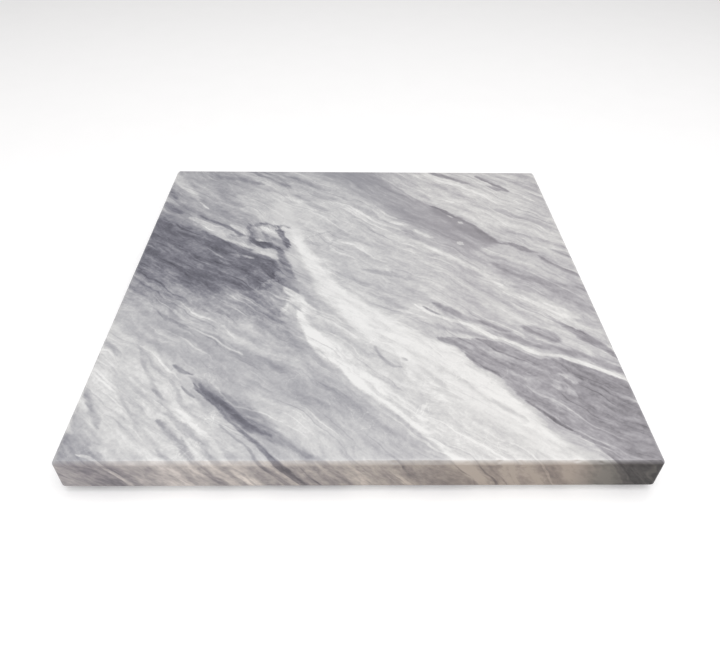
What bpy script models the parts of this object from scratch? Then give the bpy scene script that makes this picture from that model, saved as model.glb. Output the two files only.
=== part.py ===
"""A square marble tooling slab on four self-adhesive bumper feet.

Units are metres and +Z is up. The origin is on the bench, under the middle of the slab,
and the working front edge faces -Y.
"""

import math

import bmesh
import bpy
from mathutils import Matrix, Vector

# Stone
SLAB_WIDTH = 0.305
SLAB_DEPTH = 0.305
SLAB_THICKNESS = 0.020
CORNER_RADIUS = 0.003
TOP_EDGE_RADIUS = 0.002
BOTTOM_EDGE_RADIUS = 0.0015
CORNER_STEPS = 6
EDGE_STEPS = 5

# Feet: a tapered disc with a rounded rim and a dished sole
FOOT_DIAMETER = 0.0127
FOOT_HEIGHT = 0.0035
FOOT_DRAFT = 0.0009
FOOT_RIM_RADIUS = 0.0006
FOOT_RIM_STEPS = 4
SOLE_RING_WIDTH = 0.0022
SOLE_DISH_DEPTH = 0.0005
FOOT_CENTRE_INSET = 0.025
FOOT_SIDES = 48

# The adhesive film that each foot is sold with fills this space under the stone.
ADHESIVE_FILM = 0.0003

UNDERSIDE_Z = FOOT_HEIGHT + ADHESIVE_FILM

WELD_DISTANCE = 1e-6


def clear_scene():
    """Remove whatever the file holds."""
    for old in list(bpy.data.objects):
        bpy.data.objects.remove(old)


def make_material(name, colour, roughness):
    """A Principled material with one colour (linear RGB) and roughness."""
    material = bpy.data.materials.new(name)
    material.use_nodes = True
    shader = material.node_tree.nodes["Principled BSDF"]
    shader.inputs["Base Color"].default_value = (*colour, 1.0)
    shader.inputs["Roughness"].default_value = roughness
    shader.inputs["Metallic"].default_value = 0.0
    return material


def add_object(name, mesh, material, location=(0.0, 0.0, 0.0), parent=None):
    """Link a mesh object that wears the material."""
    if not mesh.materials:
        mesh.materials.append(material)
    made = bpy.data.objects.new(name, mesh)
    made.location = location
    made.parent = parent
    bpy.context.scene.collection.objects.link(made)
    return made


def mesh_from(bm, name, sharp_above=30.0):
    """Turn a finished bmesh into a mesh with smooth faces and sharp corners."""
    bmesh.ops.recalc_face_normals(bm, faces=bm.faces)
    mesh = bpy.data.meshes.new(name)
    bm.to_mesh(mesh)
    bm.free()
    mesh.shade_smooth()
    mesh.set_sharp_from_angle(angle=math.radians(sharp_above))
    return mesh


def is_upright(edge):
    """True for an edge that runs along Z."""
    along = (edge.verts[1].co - edge.verts[0].co).normalized()
    return abs(along.z) > 0.999


def rim_at(bm, height):
    """The outline edges of the flat face at one height."""
    level = [v for v in bm.verts if abs(v.co.z - height) < WELD_DISTANCE]
    return [e for e in bm.edges if e.verts[0] in level and e.verts[1] in level]


def slab_mesh():
    """The block of stone: upright corners rounded first, then both rims eased."""
    bm = bmesh.new()
    bmesh.ops.create_cube(bm, size=1.0)
    size = Matrix.Diagonal((SLAB_WIDTH, SLAB_DEPTH, SLAB_THICKNESS, 1.0))
    bmesh.ops.transform(bm, matrix=size, verts=bm.verts)
    corners = [e for e in bm.edges if is_upright(e)]
    bmesh.ops.bevel(
        bm,
        geom=corners,
        offset=CORNER_RADIUS,
        offset_type="OFFSET",
        segments=CORNER_STEPS,
        profile=0.5,
        affect="EDGES",
    )
    for height, radius in (
        (SLAB_THICKNESS / 2, TOP_EDGE_RADIUS),
        (-SLAB_THICKNESS / 2, BOTTOM_EDGE_RADIUS),
    ):
        bmesh.ops.bevel(
            bm,
            geom=rim_at(bm, height),
            offset=radius,
            offset_type="OFFSET",
            segments=EDGE_STEPS,
            profile=0.5,
            affect="EDGES",
        )
    return mesh_from(bm, "stone_slab")


def foot_profile():
    """Half of a foot's section as (radius, height) points, from the sole's middle to the top's."""
    top_radius = FOOT_DIAMETER / 2
    sole_radius = top_radius - FOOT_DRAFT
    dish_radius = sole_radius - FOOT_RIM_RADIUS - SOLE_RING_WIDTH
    rim_centre = (sole_radius - FOOT_RIM_RADIUS, FOOT_RIM_RADIUS)
    points = [
        (0.0, SOLE_DISH_DEPTH),
        (dish_radius - SOLE_DISH_DEPTH, SOLE_DISH_DEPTH),
        (dish_radius, 0.0),
    ]
    for step in range(FOOT_RIM_STEPS + 1):
        turn = math.radians(-90.0 + 90.0 * step / FOOT_RIM_STEPS)
        points.append(
            (
                rim_centre[0] + FOOT_RIM_RADIUS * math.cos(turn),
                rim_centre[1] + FOOT_RIM_RADIUS * math.sin(turn),
            )
        )
    points.append((top_radius, FOOT_HEIGHT))
    points.append((0.0, FOOT_HEIGHT))
    return points


def foot_mesh():
    """A bumper foot, its section spun round the Z axis."""
    bm = bmesh.new()
    verts = [bm.verts.new((r, 0.0, z)) for r, z in foot_profile()]
    edges = [bm.edges.new(pair) for pair in zip(verts, verts[1:])]
    bmesh.ops.spin(
        bm,
        geom=verts + edges,
        cent=Vector(),
        axis=Vector((0.0, 0.0, 1.0)),
        angle=math.tau,
        steps=FOOT_SIDES,
    )
    bmesh.ops.remove_doubles(bm, verts=bm.verts, dist=WELD_DISTANCE)
    return mesh_from(bm, "bumper_foot")


def build():
    """Make the slab and stand it on its feet."""
    clear_scene()
    marble = make_material("grey_marble", (0.50, 0.50, 0.51), 0.45)
    rubber = make_material("grey_rubber", (0.035, 0.036, 0.038), 0.75)

    assembly = bpy.data.objects.new("tooling_slab", None)
    bpy.context.scene.collection.objects.link(assembly)
    add_object(
        "stone_slab",
        slab_mesh(),
        marble,
        location=(0.0, 0.0, UNDERSIDE_Z + SLAB_THICKNESS / 2),
        parent=assembly,
    )

    foot = foot_mesh()
    foot_x = SLAB_WIDTH / 2 - FOOT_CENTRE_INSET
    foot_y = SLAB_DEPTH / 2 - FOOT_CENTRE_INSET
    for row, y in (("front", -foot_y), ("back", foot_y)):
        for side, x in (("left", -foot_x), ("right", foot_x)):
            add_object(f"foot_{row}_{side}", foot, rubber, (x, y, 0.0), assembly)


build()
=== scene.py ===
"""A square slab of cloudy grey marble on four bumper feet, dressed for a studio view.

Lengths are metres unless a name or a comment says mm. The working face looks up, and the
front edge faces -Y. The figure of the stone is a set of named layers that run through the
whole block, so a vein on the working face goes on down the edges and under the slab.
"""

import logging
import math
from dataclasses import dataclass, field
from enum import Enum

import bmesh
import bpy
from mathutils import Matrix, Vector, noise


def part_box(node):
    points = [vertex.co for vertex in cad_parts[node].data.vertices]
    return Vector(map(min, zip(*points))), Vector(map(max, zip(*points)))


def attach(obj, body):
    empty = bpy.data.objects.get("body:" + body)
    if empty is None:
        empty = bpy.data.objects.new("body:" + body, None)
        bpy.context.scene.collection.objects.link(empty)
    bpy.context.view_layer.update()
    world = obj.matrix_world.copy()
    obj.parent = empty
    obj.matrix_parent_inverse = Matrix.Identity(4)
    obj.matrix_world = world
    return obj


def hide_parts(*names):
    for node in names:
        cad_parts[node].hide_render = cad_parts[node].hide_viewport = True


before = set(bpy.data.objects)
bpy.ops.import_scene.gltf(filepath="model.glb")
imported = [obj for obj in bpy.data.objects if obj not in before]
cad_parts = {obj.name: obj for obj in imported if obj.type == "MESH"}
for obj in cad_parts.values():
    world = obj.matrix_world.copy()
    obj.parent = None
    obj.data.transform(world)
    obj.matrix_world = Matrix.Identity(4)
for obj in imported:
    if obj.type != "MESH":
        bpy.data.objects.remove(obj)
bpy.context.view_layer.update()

LOG = logging.getLogger("tooling_slab")

Colour = tuple[float, float, float, float]
Point = tuple[float, float]
WidePoint = tuple[float, float, float]
Material = bpy.types.Material
Mesh = bpy.types.Mesh
Node = bpy.types.Node
Piece = bpy.types.Object
Socket = bpy.types.NodeSocket
Tree = bpy.types.NodeTree

MM = 0.001
PER_MM = 1000.0
SMOOTH = {"interpolation_type": "SMOOTHSTEP", "clamp": False}  # a Map Range with soft ends
FLAT_NORMAL = 0.999  # upward part of a normal, above which a face counts as level
WELD_DISTANCE = 1e-6
SHARP_ANGLE = 35.0  # degrees between two faces, above which their edge is not smoothed


def linear(code: str) -> Colour:
    """Turn an sRGB hex colour into the linear colour that a shader takes.

    Args:
        code: six hex digits, with or without a leading #.

    Returns:
        Linear red, green and blue, with an alpha of one.
    """
    digits = code.lstrip("#")
    shares = [int(digits[i : i + 2], 16) / 255.0 for i in (0, 2, 4)]
    lit = [c / 12.92 if c <= 0.04045 else ((c + 0.055) / 1.055) ** 2.4 for c in shares]
    return (*lit, 1.0)


def add_node(tree: Tree, kind: str, feeds: dict | None = None, **settings: object) -> Node:
    """Add one shader node with its settings, values and links.

    Args:
        tree: the node tree to add to.
        kind: the node's type without its ShaderNode prefix.
        feeds: input name or number to a value, an output socket, or a node whose first
            output is linked.
        settings: properties to set before the inputs are fed.

    Returns:
        The new node.
    """
    made = tree.nodes.new("ShaderNode" + kind)
    for name, value in settings.items():
        setattr(made, name, value)
    for name, value in (feeds or {}).items():
        if isinstance(value, Node):
            value = value.outputs[0]
        if isinstance(value, Socket):
            tree.links.new(value, made.inputs[name])
        else:
            made.inputs[name].default_value = value
    return made


def new_material(name: str, uniform: dict[str, object]) -> tuple[Material, Tree, Node]:
    """Make a material that holds only its Principled shader and its output.

    Args:
        name: the finish's name.
        uniform: the shader's inputs that have one value all over.

    Returns:
        The material, its node tree and the shader node.
    """
    material = bpy.data.materials.new(name)
    material.use_nodes = True
    tree = material.node_tree
    shader = tree.nodes["Principled BSDF"]
    for socket, value in uniform.items():
        shader.inputs[socket].default_value = value
    return material, tree, shader


def between(ends: Point) -> dict[str, float]:
    """Give the inputs of a Map Range that begins at one value and is full at the other."""
    return {"From Min": ends[0], "From Max": ends[1]}


def drawn_out_noise(tree: Tree, place: Node, lump: WidePoint, **feeds: float) -> Node:
    """Make a noise whose lumps are longer one way than the other.

    Args:
        tree: the material's node tree.
        place: the node with the place in mm.
        lump: a lump's size along each axis, in mm.
        feeds: the noise's other inputs.

    Returns:
        The noise node.
    """
    shares = tuple(1.0 / size for size in lump)
    stretched = add_node(tree, "VectorMath", {0: place, 1: shares}, operation="MULTIPLY")
    return add_node(tree, "TexNoise", {"Vector": stretched, "Scale": 1.0, **feeds})


# ---------------------------------------------------------------- the figure of the stone

GRAIN_ANGLE = 41.0  # degrees that the layers run below +X on the working face
LAYER_DIP = 0.72  # mm that a layer moves towards +X for each mm down into the block
FIGURE_REACH = 240.0  # mm from the middle that the layers are laid out to, both ways
TIP_LENGTH = 3.0  # mm over which a layer with hard sides closes at its ends
TIP_SPARE = 1.2  # how much further the layer's curves run on, as a share of its tip
NOISE_STRETCH = 4.0  # a noise stays within about a quarter of its middle


@dataclass(frozen=True)
class Fraying:
    """How a layer breaks up: mm that its border strays, and its weakest and fullest cover."""

    along: float
    across: float
    weakest: float
    fullest: float


class Edge(Enum):
    """The ways that a layer of the stone ends against its neighbours."""

    CLEAN = Fraying(1.5, 1.0, 0.55, 1.15)
    FRAYED = Fraying(3.2, 1.7, 0.45, 1.2)
    FINGERED = Fraying(8.0, 3.0, 0.5, 1.2)


def to_grain(x: float, y: float) -> Point:
    """Turn a place on the working face, in mm, into distances along and across the grain."""
    turn = math.radians(GRAIN_ANGLE)
    along = x * math.cos(turn) - y * math.sin(turn)
    across = x * math.sin(turn) + y * math.cos(turn)
    return along, across


@dataclass(frozen=True)
class Vein:
    """A narrow layer, drawn as a middle line with a half width at each of its points.

    Tone runs from 0, black, to 1, white, evenly to the eye. Points are (x, y, half width)
    in mm on the working face, in order along the grain.
    """

    tone: float
    path: tuple[WidePoint, ...]
    strength: float = 1.0
    soft: float = 1.2
    edge: Edge = Edge.FRAYED

    def borders(self) -> tuple[list[Point], list[Point]]:
        """Work out the vein's two sides.

        Returns:
            The upper and the lower side, each as (along, across) points in mm.
        """
        middle = [to_grain(x, y) for x, y, _ in self.path]
        upper, lower = [], []
        for i, (along, across) in enumerate(middle):
            before = middle[max(i - 1, 0)]
            after = middle[min(i + 1, len(middle) - 1)]
            run = max(after[0] - before[0], 1e-3)
            slant = (after[1] - before[1]) / run
            half = self.path[i][2] * min(math.hypot(1.0, slant), 3.0)
            upper.append((along, across + half))
            lower.append((along, across - half))
        return upper, lower

    def softness(self) -> Point:
        """Give the blur of the upper and the lower side, in mm."""
        return self.soft, self.soft


@dataclass(frozen=True)
class Cloud:
    """A broad layer, drawn by its upper and lower borders as (x, y) points in mm.

    The upper border is the one towards the back right. The two ends of both borders meet,
    or lie off the slab.
    """

    tone: float
    upper: tuple[Point, ...]
    lower: tuple[Point, ...]
    upper_soft: float
    lower_soft: float
    strength: float = 1.0
    edge: Edge = Edge.FRAYED

    def borders(self) -> tuple[list[Point], list[Point]]:
        """Give the upper and the lower border as (along, across) points in mm."""
        return [to_grain(*p) for p in self.upper], [to_grain(*p) for p in self.lower]

    def softness(self) -> Point:
        """Give the blur of the upper and the lower border, in mm."""
        return self.upper_soft, self.lower_soft


Layer = Vein | Cloud

# The broad ground of the stone: lighter and darker beds, laid down first.
BEDS: tuple[Layer, ...] = (
    # purple-grey haze over the back left corner
    Cloud(0.665, ((-175, 175), (-95, 150), (-80, 110), (-70, 75), (-62, 55)),
        ((-190, 140), (-165, 90), (-140, 70), (-100, 60), (-75, 45)), 26, 14, 0.9),
    # pale bed over the back right corner
    Cloud(0.805, ((20, 190), (120, 190), (190, 110), (190, 60)),
        ((15, 175), (45, 110), (80, 78), (100, 55), (150, 20), (190, -25)), 10, 8, 0.95),
    # pale bed through the middle
    Cloud(0.79, ((-70, 90), (10, 100), (45, 60), (90, 20), (140, -20), (170, -50)),
        ((-62, 70), (-45, 20), (0, -30), (45, -55), (110, -75), (170, -110)), 16, 8, 0.85),
    # pale bed in the front left corner
    Cloud(0.825, ((-190, -35), (-130, -70), (-100, -95), (-60, -140), (-40, -180)),
        ((-200, -60), (-190, -130), (-160, -160), (-120, -190)), 16, 22, 0.9),
    # pale ground right of the long white vein
    Cloud(0.855, ((-40, -20), (10, -62), (60, -100), (95, -140), (120, -175)),
        ((-36, -45), (-14, -80), (20, -118), (50, -150), (72, -180)), 8, 8, 0.9, Edge.CLEAN),
)

# The dark beds.
DARK_BEDS: tuple[Layer, ...] = (
    # the dark cloud at the left, its soft outer part and its tail
    Cloud(0.60, ((-200, 114), (-152, 87), (-128, 71), (-104, 51), (-74, 31), (-54, 18), (-46, 4), (-44, -14),
        (-47, -30), (-52, -44)),
        ((-210, 60), (-175, 5), (-150, -22), (-125, -34), (-98, -40), (-74, -44), (-55, -47)), 6, 24),
    Vein(0.63, ((-86, -14, 6), (-76, -22, 9), (-66, -32, 10), (-57, -42, 9), (-49, -52, 7), (-42, -61, 5),
        (-36, -70, 2.5)), 0.9, 10),
    # its dark middle
    Cloud(0.44, ((-195, 96), (-152, 74), (-126, 62), (-104, 48), (-80, 34), (-60, 21), (-51, 10), (-51, 1),
        (-57, -6), (-68, -13)),
        ((-205, 50), (-165, 18), (-140, 4), (-112, -12), (-92, -18), (-74, -16)), 7, 18, 0.72, Edge.FINGERED),
    Cloud(0.44, ((-195, 96), (-152, 74), (-126, 62), (-104, 48), (-83, 34), (-70, 24), (-64, 14), (-68, 4),
        (-80, -5)),
        ((-205, 50), (-165, 18), (-140, 4), (-112, -10), (-87, -9)), 7, 18, 0.72, Edge.FINGERED),
    Vein(0.42, ((-135, 54, 2.5), (-122, 46, 6), (-110, 39, 7), (-98, 33, 5), (-88, 27, 2)), 0.8, 6),
    # its right border, which the belt rubs against
    Vein(0.60, ((-58, 24, 1), (-53, 14, 3.6), (-48, 4, 4.4), (-44, -7, 3.4), (-40, -16, 1.4)), 0.85, 4),
    # haze over the left edge, above the cloud
    Vein(0.61, ((-170, 128, 6), (-154, 112, 8), (-142, 98, 9), (-129, 84, 8), (-116, 71, 4)), 0.75, 10),
    Vein(0.56, ((-78, -18, 1.5), (-70, -25, 4.5), (-62, -33, 5), (-54, -42, 3), (-49, -48, 1)), 0.75, 7),
    # grey streaks that trail from the cloud to the front
    Vein(0.66, ((-136, -36, 1.5), (-124, -46, 3), (-111, -55, 3.4), (-99, -62, 2.6),
        (-88, -70, 1.2)), 0.85, 4),
    Vein(0.68, ((-98, -51, 1), (-84, -60, 2.2), (-70, -69, 2.6), (-58, -77, 2.4), (-44, -86, 2.4),
        (-30, -94, 1.4)), 0.7, 3),
    Vein(0.67, ((-79, -45, 1), (-72, -54, 2.2), (-64, -61, 2.4), (-55, -68, 1.2)), 0.65, 3.4),
    # the smooth grey band that comes in from the back edge
    Cloud(0.635, ((-10, 185), (14, 150), (32, 126), (49, 104), (60, 94), (72, 84), (85, 71), (94, 58),
        (101, 46)),
        ((-70, 175), (-40, 150), (-8, 124), (14, 96), (36, 72), (60, 48), (84, 34),
        (99, 40)), 2, 16, 1, Edge.CLEAN),
    # its darker right side
    Cloud(0.565, ((60, 91), (72, 83), (85, 70), (94, 58), (100, 47)),
        ((58, 90), (68, 74), (80, 56), (92, 44), (99, 43)), 1.6, 9, 0.75, Edge.CLEAN),
    # darker where it meets the back edge
    Cloud(0.60, ((-10, 180), (8, 152), (18, 138), (22, 128)),
        ((-55, 180), (-34, 152), (-12, 138), (10, 128)), 8, 8, 0.8),
    # grey haze over the back right corner
    Vein(0.70, ((98, 156, 5), (116, 142, 8), (138, 126, 10), (158, 110, 10), (180, 92, 8)), 0.5, 14),
    # grey ground of the front right
    Cloud(0.675, ((92, 18), (122, 4), (150, -8), (190, -40)),
        ((96, 8), (112, -14), (136, -30), (160, -60), (190, -95)), 6, 10, 0.8),
    # the fibrous dark wedge at the front right
    Cloud(0.605, ((47, -59), (62, -60), (78, -62), (92, -69), (106, -78), (118, -79), (130, -84), (144, -92),
        (162, -104), (200, -130)),
        ((48, -62), (57, -67), (62, -76), (69, -85), (77, -92), (84, -101), (90, -112), (100, -122),
        (108, -131), (122, -144), (133, -156), (160, -190)), 1.6, 1.8),
    # its darker heart
    Cloud(0.555, ((84, -76), (108, -82), (126, -86), (150, -100), (190, -135)),
        ((86, -82), (104, -94), (118, -112), (128, -134), (142, -160),
        (160, -190)), 7, 8, 0.8, Edge.FINGERED),
    # purple-grey patch in the front left corner
    Cloud(0.60, ((-170, -118), (-150, -132), (-136, -140), (-124, -152), (-112, -170)),
        ((-180, -135), (-160, -148), (-146, -158), (-128, -178)), 6, 6, 0.85, Edge.FINGERED),
    # soft grey band through the front left
    Cloud(0.69, ((-152, -16), (-120, -28), (-92, -40), (-70, -52), (-46, -70), (-20, -96), (5, -120)),
        ((-152, -22), (-124, -50), (-100, -72), (-78, -88), (-54, -102), (-26, -116),
        (4, -124)), 16, 16, 0.8),
    Cloud(0.675, ((-134, -34), (-112, -44), (-92, -56), (-70, -72), (-45, -84), (-20, -100), (5, -116),
        (22, -134), (26, -137)),
        ((-132, -40), (-112, -58), (-96, -70), (-78, -86), (-58, -98), (-36, -109), (-18, -116), (0, -126),
        (14, -134), (24, -138)), 7, 7, 0.8),
    # and turns pale by the front edge
    Vein(0.82, ((-62, -104, 2), (-44, -118, 6), (-26, -130, 8), (-8, -143, 8), (12, -160, 8)), 0.6, 9),
    Vein(0.65, ((-52, -83, 1), (-38, -93, 3), (-26, -101, 4), (-12, -109, 3.6), (2, -116, 1.8)), 0.8, 5),
    # purple-grey streak down the back left
    Vein(0.625, ((-124, 158, 4), (-118, 141, 5), (-112, 127, 5), (-106, 113, 4.6), (-99, 100, 3)), 0.8, 6),
)

# The white beds and veins.
WHITE_BEDS: tuple[Layer, ...] = (
    # the broad white belt through the middle
    Vein(0.885, ((-62, 92, 7), (-53, 74, 6), (-46, 56, 4.2), (-41, 38, 4.6), (-34, 22, 5), (-27, 6, 6.2),
        (-21, -10, 7.5), (-8, -28, 10), (6, -44, 12), (22, -60, 13), (40, -76, 14), (56, -94, 12),
        (70, -110, 10), (84, -126, 9), (97, -142, 8), (110, -158, 8), (128, -182, 8)), 0.95, 6),
    # its bright upper run, right of the curl
    Vein(0.905, ((-50, 66, 1), (-45, 52, 2.2), (-41, 38, 2.8), (-35, 24, 3.2), (-29, 10, 3.8), (-23, -2, 4.2),
        (-16, -14, 4.6), (-5, -27, 4), (6, -38, 2)), 0.85, 4),
    # its whitest run, hard against the dark wedge
    Vein(0.91, ((-10, -30, 3), (4, -42, 6), (20, -55, 7), (38, -68, 8), (52, -76, 8), (62, -88, 7),
        (74, -102, 6), (86, -120, 5), (96, -134, 3)), 0.9, 5),
    # greyer run inside the belt
    Vein(0.79, ((12, -84, 1.5), (26, -95, 3.6), (40, -105, 4.6), (54, -117, 5), (68, -131, 5), (84, -148, 4),
        (104, -172, 4)), 0.3, 6),
    # the long white vein left of the belt
    Vein(0.925, ((-38, -36, 1), (-35, -45, 2.2), (-31, -53, 3.2), (-27, -60, 4.8), (-22, -68, 5.8),
        (-17, -74, 5.2), (-12, -80, 3.6), (-8, -86, 2.6), (-3, -94, 3), (3, -102, 2.2), (12, -111, 1.7),
        (22, -121, 1.7), (31, -131, 1.9), (40, -141, 2), (50, -152, 2.2),
        (66, -172, 2.2)), 1, 2.6, Edge.CLEAN),
    # its branch on the right
    Vein(0.885, ((-6, -84, 1), (2, -91, 1.6), (12, -99, 1.8), (22, -108, 2), (33, -120, 2), (44, -132, 2),
        (56, -146, 2.2), (72, -166, 2.2)), 0.8, 2.6, Edge.CLEAN),
    Vein(0.875, ((28, -92, 1), (40, -104, 1.6), (52, -118, 1.8), (64, -132, 1.8), (78, -150, 2),
        (94, -172, 2)), 0.6, 3, Edge.CLEAN),
    Vein(0.72, ((-32, -40, 1.5), (-22, -50, 4), (-12, -60, 4.6), (0, -72, 3.6), (10, -84, 1.5)), 0.6, 5),
    Vein(0.875, ((22, -98, 1.5), (35, -110, 4.2), (48, -123, 4.2), (60, -136, 3.6), (74, -152, 2.5)), 0.6, 5),
    # the white dash above it
    Vein(0.865, ((-49, -11, 0.8), (-45, -16, 2.2), (-40, -21, 2.6), (-34, -27, 1.8),
        (-29, -33, 1)), 0.9, 1.8, Edge.CLEAN),
    # pale cloud at the head of the belt
    Cloud(0.815, ((-100, 110), (-82, 114), (-62, 107), (-44, 94), (-30, 78), (-22, 62)),
        ((-98, 106), (-84, 86), (-70, 68), (-58, 62), (-46, 52)), 14, 12, 0.7),
    # pale streak over the head of the belt
    Vein(0.845, ((-70, 115, 1.2), (-61, 109, 2), (-52, 104, 2.8), (-45, 98, 2.8), (-37, 90, 2.4),
        (-29, 82, 2), (-20, 73, 1.4)), 0.85, 3),
    # the ragged pale sliver along the top of the dark cloud
    Cloud(0.78, ((-128, 77), (-118, 73), (-108, 66), (-98, 57), (-90, 49), (-80, 41), (-68, 36), (-58, 30),
        (-53, 23)),
        ((-128, 75), (-120, 68.5), (-112, 61), (-103, 52), (-93, 44), (-83, 37.5), (-72, 31), (-62, 25),
        (-54, 22)), 2, 1.6, 0.95),
    # and the grey that lies over its lower half
    Vein(0.64, ((-96, 50, 0.8), (-88, 47, 2.4), (-81, 43, 2.6), (-74, 38, 1.2)), 0.8, 2.4),
    # soft white vein in the right half
    Vein(0.885, ((48, 40, 0.8), (56, 33, 1.6), (64, 26, 2.2), (72, 18, 2.4), (80, 11, 2.4), (88, 2, 2.2),
        (96, -9, 2), (104, -18, 1.8), (113, -25, 2), (122, -31, 3.2), (131, -36, 3.6),
        (138, -41, 2)), 0.85, 2.6, Edge.CLEAN),
    # the winding white vein above the wedge
    Vein(0.885, ((36, -28, 0.5), (44, -36, 1), (52, -41, 1.2), (60, -44.5, 1.2), (68, -48, 1.2),
        (74, -52, 1.8), (79, -58, 1.6), (87, -61.5, 1.2), (95, -66, 1.2), (102, -71.5, 1.5), (109, -75, 1.3),
        (117, -76, 1.3), (124, -79, 1.4), (132, -83, 1.4), (140, -88, 1.4), (148, -93, 1.5), (160, -101, 1.5),
        (180, -114, 1.5)), 1, 1.2, Edge.CLEAN),
    # pale streaks of the back right
    Vein(0.85, ((36, 146, 1), (46, 136, 2.2), (54, 127, 2.6), (60, 117, 2.2), (67, 108, 2),
        (76, 99, 1.4)), 0.75, 3),
    Vein(0.87, ((50, 146, 2), (62, 138, 4), (74, 131, 5), (84, 124, 5.5), (94, 116, 4.5), (106, 109, 3),
        (118, 100, 2)), 0.85, 4),
    Vein(0.86, ((102, 124, 0.8), (110, 119, 1.6), (120, 112, 2.2), (130, 106, 2.2),
        (139, 99, 1.2)), 0.75, 2.6),
    Vein(0.85, ((96, 160, 2), (110, 148, 2.4), (121, 138, 2.6), (131, 128, 2.6), (141, 119, 2.4),
        (152, 109, 2.2), (170, 94, 2.2)), 0.7, 3),
    # pale streak down the back left
    Vein(0.80, ((-160, 152, 4), (-150, 140, 4.5), (-143, 129, 4), (-137, 120, 3.4), (-131, 111, 2.4),
        (-125, 103, 1.2)), 0.85, 4),
    Vein(0.80, ((-160, 112, 1.6), (-151, 104, 2.2), (-145, 99, 1.6), (-139, 94, 0.8)), 0.8, 2),
    # pale patch right of the belt
    Vein(0.84, ((66, -22, 1.5), (78, -30, 4.6), (90, -38, 5), (102, -46, 2)), 0.6, 6),
    # pale ground beside the wedge
    Vein(0.80, ((124, -58, 1), (131, -65, 2), (138, -72, 2.2), (147, -81, 1.8), (160, -94, 1.6)), 0.7, 3),
)

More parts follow.
